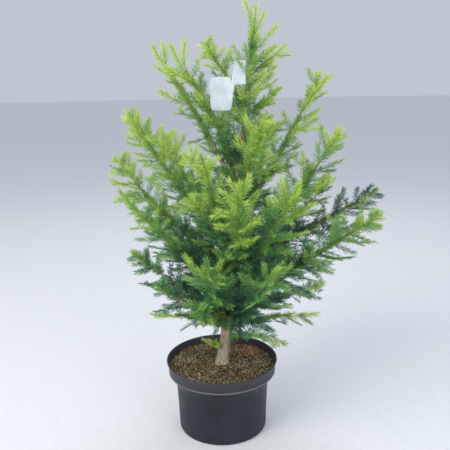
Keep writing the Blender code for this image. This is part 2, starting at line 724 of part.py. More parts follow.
def make_mass(line, number, space, green):
    first = line.parting()
    end = end_shoot(line, number)
    last = 1 - (1 - STEM_IN_END) * end.length / line.length()
    points, radii = sections(line, first, last, STEM_RINGS)
    if line.limb.bough or line.limb is LEADER:
        cut = (points[0] + line.heading(first) * GAP, line.heading(first))
    else:
        cut = trunk_cut(line)
    stem = rod(points, radii, STEM_SIDES, line.side(), cut=cut)
    shoots = side_shoots(line, number, space) + [end]
    fused(line.limb.name, stem, [blade(shoot) for shoot in shoots], green)
    return len(shoots)


def main():
    clear_scene()
    make_pot()
    make_root_ball()
    bark = make_trunk()
    label = label_route()
    make_label(label)
    green = principled("yew_foliage", (0.13, 0.30, 0.03), 0.6)
    lines = [Line(limb) for limb in LIMBS + (LEADER,)]
    space = Space(lines, label)
    total = 0
    for number, line in enumerate(lines):
        if line.limb.bough:
            make_bough(line, bark)
        total += make_mass(line, number, space, green)
    print(f"{len(lines)} limbs, {total} shoots")


main()
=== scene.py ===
# %% [markdown]
# # A young yew in its nursery pot
#
# A yew that a nursery sells is one upright leader with some thirty boughs, standing in a round black pot
# of compost. Its imported model is a frame: a true pot, root ball and trunk, and for each limb a bough and a
# mass of toothed blades that mark where its shoots run. This lesson grows the real twigs and needles on the
# same lines, gives the bark, the pot and the compost their surfaces, and lights the plant for a portrait.
#
# The frame comes first, because every piece below takes its place from it. Its box is kept, to be printed
# beside the dressed plant's at the end.

# %% The imported model
import math
import random
from collections import namedtuple

import bmesh
import bpy
import numpy as np
from mathutils import Matrix, Vector, noise


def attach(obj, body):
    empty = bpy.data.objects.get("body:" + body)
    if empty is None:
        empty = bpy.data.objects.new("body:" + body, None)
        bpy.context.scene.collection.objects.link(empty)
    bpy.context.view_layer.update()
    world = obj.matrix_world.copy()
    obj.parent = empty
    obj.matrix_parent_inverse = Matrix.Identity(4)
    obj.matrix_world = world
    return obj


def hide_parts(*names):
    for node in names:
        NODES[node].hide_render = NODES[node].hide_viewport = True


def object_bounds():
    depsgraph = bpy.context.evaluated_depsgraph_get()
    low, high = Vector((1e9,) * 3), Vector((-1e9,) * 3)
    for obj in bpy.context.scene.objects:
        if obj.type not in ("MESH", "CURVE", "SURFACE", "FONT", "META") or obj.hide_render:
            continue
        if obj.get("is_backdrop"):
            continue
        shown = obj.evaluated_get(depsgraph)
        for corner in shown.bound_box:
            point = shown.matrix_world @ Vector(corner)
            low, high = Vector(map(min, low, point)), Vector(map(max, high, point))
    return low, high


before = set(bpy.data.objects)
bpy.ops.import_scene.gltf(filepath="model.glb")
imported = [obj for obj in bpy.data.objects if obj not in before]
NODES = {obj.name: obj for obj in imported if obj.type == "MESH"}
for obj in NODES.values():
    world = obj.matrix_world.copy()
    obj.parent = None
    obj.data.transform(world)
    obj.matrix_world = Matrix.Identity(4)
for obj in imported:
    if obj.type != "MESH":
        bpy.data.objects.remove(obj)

CAD_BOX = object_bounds()
BOUGHS = sorted(name for name in NODES if name.endswith("_bough"))
PLAIN_NODES = ("pot", "root_ball", "trunk", "plant_label")
MASSES = sorted(name for name in NODES if name not in BOUGHS and name not in PLAIN_NODES)
print(f"{len(NODES)} nodes: {len(BOUGHS)} boughs and {len(MASSES)} masses of foliage")
print("box", [[round(value, 4) for value in corner] for corner in CAD_BOX])

# %% [markdown]
# ## The camera
#
# The plant is seen from a standing person's eye, looking a little down, so that the pot shows its compost
# and the crown is seen nearly level. A lens somewhat longer than a standard one keeps the pot's sides close
# to upright. The camera is turned down and then rolled by one degree, and it has no shift and no blur.

# %% Camera
CAMERA_PLACE = (0.0140, -1.3630, 0.8554)
CAMERA_DOWN = 13.5  # degrees under the horizon
CAMERA_ROLL = -1.0  # degrees
CAMERA_LENS = 46.4  # mm, on a film that is 36 mm wide

scene = bpy.context.scene
eye = bpy.data.cameras.new("eye")
eye.sensor_width = 36.0
eye.lens = CAMERA_LENS
camera = bpy.data.objects.new("camera", eye)
down = Matrix.Rotation(math.radians(90 - CAMERA_DOWN), 4, "X")
roll = Matrix.Rotation(math.radians(CAMERA_ROLL), 4, "Z")
camera.matrix_world = Matrix.Translation(CAMERA_PLACE) @ down @ roll
scene.collection.objects.link(camera)
scene.camera = camera
print("camera", [round(value, 3) for value in camera.matrix_world.translation])

# %% [markdown]
# ## Colours and nodes
#
# Colours are easiest to choose and compare as the hex codes that a paint program shows. Blender mixes light
# in linear numbers, so one function turns a code into those. Others start a material, add a node with its
# settings and links, and make the few things that every finish here needs: noise, a ramp, a mix and a bump.

# %% Helpers for materials
def rgb(code):
    """An sRGB hex code, such as "#2B3036", as linear red, green, blue and alpha."""
    shares = [int(code[i : i + 2], 16) / 255 for i in (1, 3, 5)]
    linear = [s / 12.92 if s <= 0.04045 else ((s + 0.055) / 1.055) ** 2.4 for s in shares]
    return (*linear, 1.0)


def feed(material, node, inputs):
    """Sets a node's inputs: a socket is linked, and anything else is the input's own value."""
    for name, value in inputs.items():
        if isinstance(value, bpy.types.NodeSocket):
            material.node_tree.links.new(value, node.inputs[name])
        else:
            node.inputs[name].default_value = value


def add(material, kind, inputs=None, **settings):
    node = material.node_tree.nodes.new("ShaderNode" + kind)
    for name, value in settings.items():
        setattr(node, name, value)
    feed(material, node, inputs or {})
    return node


def new_material(name, **constants):
    """A material and its shader, with the finish that is the same all over set on the shader itself."""
    material = bpy.data.materials.new(name)
    material.use_nodes = True
    shader = material.node_tree.nodes["Principled BSDF"]
    for socket, value in constants.items():
        shader.inputs[socket.replace("_", " ")].default_value = value
    return material, shader


def grain(material, millimetres, detail=3.0, stretch=(1, 1, 1)):
    """Noise whose lumps are about this many millimetres apart, on the object's own coordinates."""
    place = add(material, "TexCoord")
    scaled = add(material, "Mapping", {"Vector": place.outputs["Object"], "Scale": stretch})
    wanted = {"Vector": scaled.outputs[0], "Scale": 1000 / millimetres, "Detail": detail}
    return add(material, "TexNoise", wanted).outputs["Fac"]


def ramp(material, value, *stops):
    """A smooth ramp of (share, hex code) stops, or of (share, number) stops for a grey one."""
    node = add(material, "ValToRGB", {"Fac": value})
    points = node.color_ramp.elements
    while len(points) < len(stops):
        points.new(0.5)
    for point, (share, colour) in zip(points, stops):
        point.position = share
        point.color = rgb(colour) if isinstance(colour, str) else (colour, colour, colour, 1.0)
    return node.outputs["Color"]


def mix(material, share, *ends):
    """The colour between two others, each a socket or a hex code, at this share of the way."""
    first, second = (rgb(end) if isinstance(end, str) else end for end in ends)
    return add(material, "Mix", {0: share, 6: first, 7: second}, data_type="RGBA").outputs[2]


def bumped(material, shader, value, millimetres, below=None):
    """Bump of a real depth in millimetres, laid over another bump if one is given."""
    inputs = {"Height": value, "Distance": millimetres / 1000, "Strength": 1.0}
    if below is not None:
        inputs["Normal"] = below
    normal = add(material, "Bump", inputs).outputs["Normal"]
    feed(material, shader, {"Normal": normal})
    return normal


def mottled(name, dark, light, millimetres, detail=3.0, stops=(0.35, 0.65), **constants):
    """A natural finish whose tone changes gently from place to place."""
    material, shader = new_material(name, **constants)
    fac = grain(material, millimetres, detail)
    feed(material, shader, {"Base Color": ramp(material, fac, (stops[0], dark), (stops[1], light))})
    return material, shader


# %% [markdown]
# ## Pieces and patterns
#
# Everything that grows here is one of a few small shapes, repeated: a needle, a twig, a crumb. A scene
# could hold them as particles or instances, but those are lost when a model is exported. So each shape is
# modelled once, its corners are copied by arrays of places and directions, and the copies are joined into
# a few large meshes. A copy may also sag, which bends a straight shape without more faces.

# %% Helpers for pieces
def mesh_from(bm, name, *materials, smooth=None):
    """Ends a bmesh: its faces point outwards, and edges sharper than smooth degrees stay sharp."""
    bmesh.ops.recalc_face_normals(bm, faces=bm.faces)
    mesh = bpy.data.meshes.new(name)
    bm.to_mesh(mesh)
    bm.free()
    for material in materials:
        mesh.materials.append(material)
    if smooth is None:
        mesh.shade_flat()
    else:
        mesh.shade_smooth()
        mesh.set_sharp_from_angle(angle=math.radians(smooth))
    return mesh


def show(mesh, slot, *nodes):
    """Makes a mesh a piece of the plant, in place of these nodes of the frame."""
    piece = bpy.data.objects.new(mesh.name, mesh)
    scene.collection.objects.link(piece)
    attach(piece, "root")
    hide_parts(*nodes)
    mesh.calc_loop_triangles()
    print(f"{mesh.name}: {len(mesh.loop_triangles)} triangles")


Pattern = namedtuple("Pattern", "corners triangles")
Copies = namedtuple("Copies", "base along side up sag")


def pattern_from(bm):
    """Reads a modelled shape once, as corners and triangles to be copied."""
    bmesh.ops.recalc_face_normals(bm, faces=bm.faces)
    bmesh.ops.triangulate(bm, faces=bm.faces)
    corners = np.array([vert.co for vert in bm.verts])
    triangles = np.array([[vert.index for vert in face.verts] for face in bm.faces])
    bm.free()
    return Pattern(corners, triangles)


def copied(pattern, copies):
    """Corners and triangles of every copy. Along, side and up take the pattern's X, Y and Z, and sag bends
    the middle of a copy while its two ends, at X 0 and 1, stay where they are."""
    x, y, z = (pattern.corners[None, :, axis, None] for axis in range(3))
    base, along, side, up, sag = (np.asarray(part)[:, None, :] for part in copies)
    corners = base + x * along + y * side + z * up + (x * x - x) * sag
    count, size = corners.shape[:2]
    triangles = pattern.triangles[None, :, :] + size * np.arange(count)[:, None, None]
    return corners.reshape(-1, 3), triangles.reshape(-1, 3)


def copies_from(rows):
    """Copies from rows of (base, along, side, up, sag)."""
    return Copies(*(np.array(column) for column in zip(*rows)))


def joined_parts(parts):
    """Several (corners, triangles) parts as one."""
    starts = np.cumsum([0] + [len(corners) for corners, _ in parts])
    corners = np.concatenate([corners for corners, _ in parts])
    triangles = np.concatenate([faces + start for (_, faces), start in zip(parts, starts)])
    return corners, triangles


def joined(name, parts, *materials):
    """One mesh of several (corners, triangles) parts, the first part in the first material and so on."""
    corners, triangles = joined_parts(parts)
    mesh = bpy.data.meshes.new(name)
    mesh.vertices.add(len(corners))
    mesh.vertices.foreach_set("co", corners.astype(np.float32).ravel())
    mesh.loops.add(triangles.size)
    mesh.loops.foreach_set("vertex_index", triangles.astype(np.int32).ravel())
    mesh.polygons.add(len(triangles))
    mesh.polygons.foreach_set("loop_start", np.arange(0, triangles.size, 3, dtype=np.int32))
    for material in materials:
        mesh.materials.append(material)
    if len(materials) > 1:
        shades = np.repeat(np.arange(len(parts)), [len(faces) for _, faces in parts])
        mesh.polygons.foreach_set("material_index", shades.astype(np.int32))
    mesh.update(calc_edges=True)
    mesh.shade_flat()
    return mesh


def turned(name, outline, steps, material, smooth):
    """An outline of (radius, height) points, closed on the axis and spun all the way round it."""
    bm = bmesh.new()
    corners = [bm.verts.new((radius, 0.0, height)) for radius, height in outline]
    edges = [bm.edges.new(pair) for pair in zip(corners, corners[1:])]
    upright = dict(cent=(0, 0, 0), axis=(0, 0, 1))
    bmesh.ops.spin(bm, geom=corners + edges, angle=math.tau, steps=steps, use_merge=True, **upright)
    bmesh.ops.remove_doubles(bm, verts=bm.verts, dist=1e-6)
    return mesh_from(bm, name, material, smooth=smooth)


# %% [markdown]
# ## Where the plant grows
#
# The frame's solids were grown by a rule, and the rule is written here again with the same numbers: the
# trunk's line, one row for each limb, and side shoots a golden angle apart that open from the stem and keep
# to the space nearer to their own limb than to any other. Growing by the same rule puts each real shoot
# where its blade stands, so the dressed crown has the outline and the gaps of the solids.

# %% The trunk's line
GAP = 0.0003
POT_RIM_RADIUS = 0.140
POT_HEIGHT = 0.182
SOIL_TOP = POT_HEIGHT - 0.015
TRUNK_FOOT = Vector((0.0, 0.0, SOIL_TOP + GAP))
LEADER_TIP = Vector((0.093, 0.016, 1.038))
TRUNK_SHARE = 0.850  # how far up that line the wood goes before the leader's own green shoot
TRUNK_SWAY = 0.005
TRUNK_SWAYS = (8.5, 6.0)  # radians up the whole line, along X and Y
TRUNK_RADIUS = 0.0145
TRUNK_TAPER = 0.85
TRUNK_TIP_RADIUS = 0.0024
FLARE_RADIUS = 0.0035
FLARE_HEIGHT = 0.014


def trunk_point(share):
    """A place on the trunk's axis, a share of the way from its foot to the leader's tip."""
    across, back = TRUNK_SWAYS
    sway = Vector((math.sin(share * across), math.cos(share * back) - 1.0, 0.0))
    return TRUNK_FOOT.lerp(LEADER_TIP, share) + sway * TRUNK_SWAY * (1 - share)


def trunk_share(height):
    return (height - TRUNK_FOOT.z) / (LEADER_TIP.z - TRUNK_FOOT.z)


def trunk_radius(share):
    height = share * (LEADER_TIP.z - TRUNK_FOOT.z)
    taper = (1 - share / TRUNK_SHARE) ** TRUNK_TAPER if share < TRUNK_SHARE else 0.0
    flare = FLARE_RADIUS * math.exp(-height / FLARE_HEIGHT)
    return TRUNK_TIP_RADIUS + (TRUNK_RADIUS - TRUNK_TIP_RADIUS) * taper + flare


print(f"trunk {2000 * trunk_radius(0.05):.1f} mm thick near its foot")

# %% The limbs
# As in the frame: foot, the height on the trunk; heading, degrees round from +X; reach of the tip from the
# pot's axis, and its height; bow, the sag as a share of the length; bough, the bare share; spread, the
# length of the side shoots. Of the dressing: apart, how far apart its outer shoots stand; weak, how long
# its weaker shoots are; fresh, how much fresher its green is, more on the sunny sides and less in shade.
LIMB_COLUMNS = "name foot heading reach height bow bough spread apart weak fresh"
Limb = namedtuple("Limb", LIMB_COLUMNS, defaults=(1.0, 1.0, 0.0))
LIMB_ROWS = (
    ("top_right", 0.880, 0, 0.165, 0.948, 0.05, 0.0, 0.060),
    ("leader_right", 0.790, 8, 0.150, 0.850, 0.10, 0.0, 0.069, 1.10, 0.85),
    ("leader_side", 0.700, 20, 0.165, 0.768, 0.06, 0.0, 0.081),
    ("upper_centre", 0.800, 108, 0.084, 0.966, 0.02, 0.0, 0.070, 0.55, 0.70, 0.12),
    ("upper_left", 0.610, 169, 0.152, 0.954, -0.07, 0.30, 0.100, 1.0, 0.48, 0.05),
    ("upper_left_inner", 0.660, 211, 0.116, 0.949, -0.06, 0.0, 0.092, 0.90, 0.85),
    ("left_plume", 0.470, 194, 0.209, 0.811, 0.10, 0.34, 0.132, 0.60, 1.0, 0.14),
    ("left_middle", 0.420, 167, 0.267, 0.695, 0.12, 0.34, 0.132, 0.75, 1.0, 0.08),
    ("left_outer", 0.370, 200, 0.240, 0.637, 0.12, 0.34, 0.127, 1.0, 0.90),
    ("left_low", 0.310, 175, 0.225, 0.464, 0.10, 0.0, 0.127, 0.90, 0.78, -0.20),
    ("left_low_front", 0.285, 219, 0.192, 0.428, 0.08, 0.0, 0.121, 0.90, 0.64, -0.16),
    ("left_drooping", 0.265, 196, 0.180, 0.322, -0.12, 0.0, 0.060, 1.0, 0.50, 0.18),
    ("right_upper", 0.540, 11, 0.252, 0.888, 0.12, 0.34, 0.121, 1.50, 0.95),
    ("right_middle", 0.440, 350, 0.286, 0.763, 0.14, 0.34, 0.127, 0.95),
    ("right_inner", 0.400, 22, 0.316, 0.630, 0.10, 0.34, 0.127, 1.0, 1.0, -0.06),
    ("right_far", 0.420, 3, 0.393, 0.611, 0.03, 0.36, 0.110, 0.80, 0.80, -0.62),
    ("right_outer", 0.350, 345, 0.382, 0.580, 0.08, 0.34, 0.120, 0.60, 1.05, 0.04),
    ("right_low", 0.295, 13, 0.282, 0.356, 0.00, 0.30, 0.110, 0.90, 0.56, -0.12),
    ("right_drooping", 0.262, 0, 0.251, 0.294, -0.10, 0.0, 0.065, 1.0, 0.40, 0.10),
    ("front_upper", 0.580, 301, 0.186, 0.788, 0.08, 0.0, 0.100, 0.60, 1.0, 0.12),
    ("front_left", 0.460, 261, 0.222, 0.733, 0.12, 0.32, 0.127, 1.0, 1.0, 0.14),
    ("front_middle", 0.400, 280, 0.264, 0.680, 0.14, 0.32, 0.132, 0.75, 1.0, 0.16),
    ("front_right", 0.380, 305, 0.284, 0.670, 0.14, 0.32, 0.132, 1.0, 1.0, 0.02),
    ("front_low", 0.300, 262, 0.235, 0.500, 0.10, 0.0, 0.127, 1.0, 1.0, -0.03),
    ("front_low_right", 0.290, 296, 0.262, 0.490, 0.10, 0.28, 0.127, 1.0, 1.0, -0.05),
    ("back_upper", 0.625, 96, 0.170, 0.830, 0.08, 0.0, 0.115),
    ("back_left_upper", 0.480, 134, 0.215, 0.740, 0.10, 0.32, 0.127),
    ("back_right_upper", 0.470, 56, 0.255, 0.770, 0.12, 0.32, 0.127, 1.0, 1.0, -0.05),
    ("back_left", 0.360, 140, 0.250, 0.560, 0.10, 0.32, 0.132),
    ("back_middle", 0.390, 98, 0.265, 0.640, 0.12, 0.32, 0.132),
    ("back_right", 0.350, 52, 0.300, 0.560, 0.10, 0.32, 0.132),
    ("back_low", 0.285, 102, 0.240, 0.430, 0.08, 0.0, 0.127, 1.0, 1.0, -0.18),
    ("back_low_right", 0.280, 48, 0.265, 0.400, 0.06, 0.0, 0.121, 1.0, 1.0, -0.18),
    ("foot_right", 0.236, 318, 0.062, 0.262, 0.00, 0.0, 0.034, 1.0, 1.0, 0.34),
    ("foot_left", 0.205, 232, 0.052, 0.246, 0.00, 0.0, 0.030, 1.0, 1.0, 0.50),
    ("rim_right", 0.240, 8, 0.168, 0.206, -0.12, 0.0, 0.034, 1.0, 1.0, 0.72),
)
LIMBS = [Limb(*row) for row in LIMB_ROWS]
LEADER = Limb("leader", 0.0, 0, 0.140, LEADER_TIP.z, 0.0, 0.0, 0.085, 1.30, 0.90, -0.02)
LIMB_RADIUS = 0.0022  # at the foot of a limb, with LIMB_THICKENING for each metre of its span
LIMB_THICKENING = 0.0085
LIMB_TAPER = 0.8
TIP_RADIUS = 0.0013


class Line:
    """The curve that one limb follows, from the trunk's axis (0) to its tip (1)."""

    def __init__(self, number, limb):
        self.number = number
        self.limb = limb
        if limb is LEADER:
            self.foot = trunk_point(TRUNK_SHARE)
            self.tip = LEADER_TIP.copy()
            self.bend = self.foot.lerp(self.tip, 0.5)
            self.start = 0.0
            self.radius = TRUNK_TIP_RADIUS
            return
        turn = math.radians(limb.heading)
        self.foot = trunk_point(trunk_share(limb.foot))
        self.tip = Vector((limb.reach * math.cos(turn), limb.reach * math.sin(turn), limb.height))
        span = self.tip - self.foot
        self.bend = self.foot + span * 0.5 - Vector((0, 0, limb.bow * span.length))
        self.radius = LIMB_RADIUS + LIMB_THICKENING * span.length
        self.start = self.leaves_trunk()

    def leaves_trunk(self):
        """The share of the curve that lies inside the trunk."""
        share = 0.0
        while share < 0.5:
            spot = self.point(share)
            on_trunk = trunk_share(spot.z)
            away = spot - trunk_point(on_trunk)
            if Vector((away.x, away.y, 0)).length > trunk_radius(on_trunk) + GAP:
                return share
            share += 0.001
        return share

    def point(self, share):
        return self.foot.lerp(self.bend, share).lerp(self.bend.lerp(self.tip, share), share)

    def heading(self, share):
        return (self.bend.lerp(self.tip, share) - self.foot.lerp(self.bend, share)).normalized()

    def radius_at(self, share):
        return TIP_RADIUS + (self.radius - TIP_RADIUS) * (1 - share) ** LIMB_TAPER

    def length(self):
        return sum((self.point((i + 1) / 20) - self.point(i / 20)).length for i in range(20))

    def side(self):
        """Level, and square to the limb."""
        run = self.tip - self.foot
        across = Vector((-run.y, run.x, 0.0))
        return across.normalized() if across.length > 0.02 else Vector((0.0, 1.0, 0.0))

    def parting(self):
        """Where bough gives way to foliage."""
        return max(self.limb.bough, self.start)


LINES = [Line(number, limb) for number, limb in enumerate(LIMBS + [LEADER])]
print(f"{len(LINES)} limbs, {sum(line.length() for line in LINES):.1f} m of stem in all")

# %% The label's route, which the shoots keep clear of
LABEL_LEVEL = 0.866  # middle of the loop round the trunk
LABEL_THICKNESS = 0.0008
LABEL_SLACK = 0.0021  # between the trunk and its loop
LABEL_LOOP_HEIGHT = 0.010
LABEL_LOOP_FROM = 205  # degrees round the trunk where the loop starts
LABEL_LOOP_SWEEP = 340
LABEL_LOOP_STEPS = 12
LABEL_FLAG = (Vector((0.066, -0.018, 0)), Vector((0.041, -0.024, 0)))  # its two ends, seen from above
LABEL_FLAG_STEPS = 2
LABEL_FLAG_HEIGHT = 0.052
LABEL_FLAG_LIFT = 0.018
LABEL_TAG = (Vector((0.034, -0.026, 0)), Vector((-0.014, -0.036, 0)))
LABEL_TAG_STEPS = 6
LABEL_TAG_HEIGHT = 0.074
LABEL_TAG_ENDS = 0.70  # height of the tag's rounded ends, as a share of its middle
LABEL_TAG_DROP = 0.028
LABEL_TAG_CURL = 0.004


def label_route(finer=1):
    """(point seen from above, half height, lift) along the label, from its loop to the tag's far edge."""
    share = trunk_share(LABEL_LEVEL)
    centre = trunk_point(share)
    loop = trunk_radius(share) + LABEL_SLACK + LABEL_THICKNESS / 2
    seat = Vector((centre.x + LABEL_SLACK / 2, centre.y, 0.0))
    route = []
    loop_steps = LABEL_LOOP_STEPS * finer
    for i in range(loop_steps + 1):
        turn = math.radians(LABEL_LOOP_FROM - LABEL_LOOP_SWEEP * i / loop_steps)
        spot = seat + Vector((math.cos(turn), math.sin(turn), 0.0)) * loop
        route.append((spot, LABEL_LOOP_HEIGHT / 2, 0.0))
    hook = route[-1][0]
    flag_near, flag_far = LABEL_FLAG
    route.append((hook.lerp(flag_near, 0.5), LABEL_LOOP_HEIGHT / 2, 0.0))
    for i in range(LABEL_FLAG_STEPS * finer + 1):
        spot = flag_near.lerp(flag_far, i / LABEL_FLAG_STEPS / finer)
        route.append((spot, LABEL_FLAG_HEIGHT / 2, LABEL_FLAG_LIFT))
    tag_near, tag_far = LABEL_TAG
    tag_steps = LABEL_TAG_STEPS * finer
    for i in range(tag_steps + 1):
        share = i / tag_steps
        rounding = math.sqrt(max(0.0, 1 - (2 * share - 1) ** 6))
        half = LABEL_TAG_HEIGHT / 2 * (LABEL_TAG_ENDS + (1 - LABEL_TAG_ENDS) * rounding)
        curl = Vector((0.0, LABEL_TAG_CURL * math.sin(math.pi * share), 0.0))
        route.append((tag_near.lerp(tag_far, share) + curl, half, -LABEL_TAG_DROP))
    return route


# %% The space that each limb's foliage keeps to
SPACE_STEPS = (60, 120)  # parts that a limb's line, and the trunk's, are measured in
SPACE_MARGIN = 0.006  # how much nearer its own stem than any other a shoot's edge stays
PAST_TIP = 0.012  # how far a side shoot may reach out or up beyond its limb's tip
TRUNK_CLEARANCE = 0.004
LABEL_CLEARANCE = 0.010
RIM_CLEARANCE = 0.004  # over the pot
RIM_BESIDE = 0.010  # and as far out past its rim
LOWEST = 0.030  # of any foliage beside the pot


class Space:
    """Each limb's foliage keeps to the space that lies nearer to its own line than to any other limb's."""

    def __init__(self, lines, label):
        self.label = label
        steps, trunk_steps = SPACE_STEPS
        self.spots = np.array([line.point(i / steps) for line in lines for i in range(steps + 1)])
        self.owners = np.repeat(np.arange(len(lines)), steps + 1)
        shares = [i / trunk_steps for i in range(int(trunk_steps * TRUNK_SHARE) + 1)]
        self.trunk = np.array([trunk_point(s) for s in shares])
        self.trunk_radii = np.array([trunk_radius(s) for s in shares])

    def holds(self, line, points, margin=SPACE_MARGIN):
        places = np.array(points)
        gaps = np.linalg.norm(places[:, None, :] - self.spots[None, :, :], axis=2)
        own = gaps[:, self.owners == line.number].min(axis=1)
        others = gaps[:, self.owners != line.number].min(axis=1)
        if (own + margin > others).any():
            return False
        out = np.hypot(places[:, 0], places[:, 1])
        if out.max() > line.limb.reach + PAST_TIP or places[:, 2].max() > line.limb.height + PAST_TIP:
            return False
        trunk_gaps = np.linalg.norm(places[:, None, :] - self.trunk[None, :, :], axis=2) - self.trunk_radii
        if trunk_gaps.min() < TRUNK_CLEARANCE:
            return False
        lowest = np.where(out < POT_RIM_RADIUS + RIM_BESIDE, POT_HEIGHT + RIM_CLEARANCE, LOWEST)
        return bool((places[:, 2] > lowest).all()) and not self.near_label(places)

    def near_label(self, places):
        for spot, half, lift in self.label:
            beside = np.hypot(places[:, 0] - spot.x, places[:, 1] - spot.y) < LABEL_CLEARANCE
            level = np.abs(places[:, 2] - LABEL_LEVEL - lift) < half + LABEL_CLEARANCE
            if (beside & level).any():
                return True
        return False


SPACE = Space(LINES, label_route())

# %% The side shoots
SHOOT_SPACING = 0.038
SHOOTS_LEAST = 2
SHOOTS_END = 0.86  # share of the leafy part that bears side shoots
SHOOTS_FREE = 0.040  # length at its tip that the end shoot takes
GOLDEN_ANGLE = math.radians(137.5)
TURN_PLAY = 0.3  # radians either way
SWINGS = (0, 40, -40, 80, -80)  # degrees round the stem that a shoot with no room moves by
OPENING = (56, 36)  # degrees between stem and shoot, where the shoots begin and at the tip
OPENING_PLAY = 7
SHOOT_RISE = 0.10  # how much a shoot turns up towards the light
SHOOT_LENGTHS = (1.08, 0.66)  # of the limb's spread, where the shoots begin and at the tip
LENGTH_PLAY = (0.86, 1.12)
ROLL_PLAY = 60  # degrees
SHOOT_LEAST = 0.030
SHORTENINGS = (1.0, 0.86, 0.72, 0.58, 0.46)  # tried in turn before a shoot is left out
END_LENGTH = 0.105  # of the shoot that ends a limb
END_SHARE = 0.45  # of a short limb, which has a shorter one
END_ROLL = (25, 75)
STEM_IN_END = 0.28  # share of the end shoot that the stem still runs in
BLADE_WIDTH = 0.056  # across a shoot and what grows on it
BLADE_SLIMNESS = 0.62
SEED = 17  # with a limb's number, fixes its random draws
END_SEED = 1000

Shoot = namedtuple("Shoot", "base heading face length width")


def between(ends, share):
    return ends[0] + (ends[1] - ends[0]) * share


def shoot_way(line, share, turn, opening):
    """The way a shoot grows: turned round the stem from level, and opened from it."""
    heading = line.heading(share)
    level = line.side()
    lift = heading.cross(level).normalized()
    if lift.z < 0:
        lift = -lift
    out = level * math.cos(turn) + lift * math.sin(turn)
    rise = Vector((0, 0, SHOOT_RISE))
    return (heading * math.cos(opening) + out * math.sin(opening) + rise).normalized()


def blade_face(heading, roll):
    """The way a shoot's flat side looks: up and square to the shoot, then rolled about it."""
    up = Vector((0, 0, 1)) - heading * heading.z
    if up.length < 0.2:
        up = Vector((0, -1, 0)) + heading * heading.y
    return Matrix.Rotation(roll, 3, heading) @ up.normalized()


def blade_edge(shoot):
    """Points round the shoot's edge and down its middle, for the tests of space."""
    across = shoot.heading.cross(shoot.face).normalized()
    half = shoot.width / 2
    spots = []
    for share in (0.3, 0.5, 0.7, 0.9):
        middle = shoot.base + shoot.heading * (shoot.length * share)
        spots += [middle, middle + across * half, middle - across * half]
    spots.append(shoot.base + shoot.heading * shoot.length)
    return spots


def fitted(line, base, way, roll, full, least=SHOOT_LEAST, widest=BLADE_WIDTH, margin=SPACE_MARGIN):
    """The longest shoot, of those tried, that stays in its limb's space."""
    for share in SHORTENINGS:
        length = full * share
        width = min(widest, length * BLADE_SLIMNESS)
        shoot = Shoot(base, way, blade_face(way, roll), length, width)
        if length > least and SPACE.holds(line, blade_edge(shoot), margin):
            return shoot
    return None


def fitting(line, share, turn, opening, roll, full, swings, *room):
    """The shoots that fit, of those that leave the stem at one place and are swung round it by degrees."""
    for swing in swings:
        way = shoot_way(line, share, turn + math.radians(swing), opening)
        shoot = fitted(line, line.point(share), way, roll, full, *room)
        if shoot:
            yield shoot


def side_shoots(line):
    """A limb's main side shoots."""
    draw = random.Random(SEED * END_SEED + line.number)
    first = line.parting()
    reach = line.length() * (1 - first)
    count = max(SHOOTS_LEAST, round((reach - SHOOTS_FREE) / SHOOT_SPACING))
    phase = draw.uniform(0, math.tau)
    shoots = []
    for i in range(count):
        along = (i + 0.6) / (count + 0.3)
        share = first + (1 - first) * along * SHOOTS_END
        turn = phase + i * GOLDEN_ANGLE + draw.uniform(-TURN_PLAY, TURN_PLAY)
        opening = math.radians(between(OPENING, along) + draw.uniform(-OPENING_PLAY, OPENING_PLAY))
        full = line.limb.spread * between(SHOOT_LENGTHS, along) * draw.uniform(*LENGTH_PLAY)
        roll = math.radians(draw.uniform(-ROLL_PLAY, ROLL_PLAY))
        found = list(fitting(line, share, turn, opening, roll, full, SWINGS))
        if found:
            shoots.append(max(found, key=lambda shoot: shoot.length))
    return shoots


def end_length(line):
    """Of the shoot that ends a limb, in metres."""
    return min(END_LENGTH, line.length() * END_SHARE)


def end_shoot(line):
    """The shoot that ends a limb: it starts in the stem and reaches the limb's tip."""
    draw = random.Random(SEED * END_SEED + END_SEED // 2 + line.number)
    length = end_length(line)
    heading = line.heading(1 - length / line.length() / 2)
    roll = math.radians(draw.uniform(*END_ROLL) * draw.choice((-1, 1)))
    return Shoot(line.tip - heading * length, heading, blade_face(heading, roll), length, BLADE_WIDTH)


MAIN_SHOOTS = [side_shoots(line) for line in LINES]
END_SHOOTS = [end_shoot(line) for line in LINES]
print(f"{sum(map(len, MAIN_SHOOTS)) + len(END_SHOOTS)} main shoots, as in the frame")

# %% [markdown]
# ## Finer shoots
#
# A yew branches at every size in the same way. Between the main shoots a limb bears many weaker ones, and
# the long shoots throw short side twigs, left and right in their own flat plane. The same functions grow
# them, with less room asked for. They crowd together low down inside the crown, and stand wide apart on its
# outer part and higher up. A few stronger shoots, where the crown has them, are set one by one.

# %% Every twig that will bear needles
FINE_FIRST = 0.10  # share of the limb where they begin, on its bare bough
FINE_LAST = 0.955
FINE_SPACING = (0.0044, 0.0135)  # inside the crown, and on a limb's outer part
FINE_SPACING_PLAY = (0.7, 1.3)
AIRY_FROM = 0.44  # height over which the inside of the crown is more and more open
AIRY_RISE = 0.24
FINE_OPEN_FROM = 0.48  # share of a limb where its outer part begins
FINE_LENGTHS = (0.95, 0.70)  # of the limb's spread, inside the crown
FINE_PLAY = (0.55, 1.1)
OUTER_LENGTHS = (0.074, 0.052)  # of the simple shoots on the outer part, up to the tip
OUTER_PLAY = (0.85, 1.15)
OUTER_OPENING = (64, 50)
FINE_SWINGS = (0, 60, -60)
FINE_ROOM = (0.022, 0.030, -0.022)  # least length, width, and how far it may reach into others' space
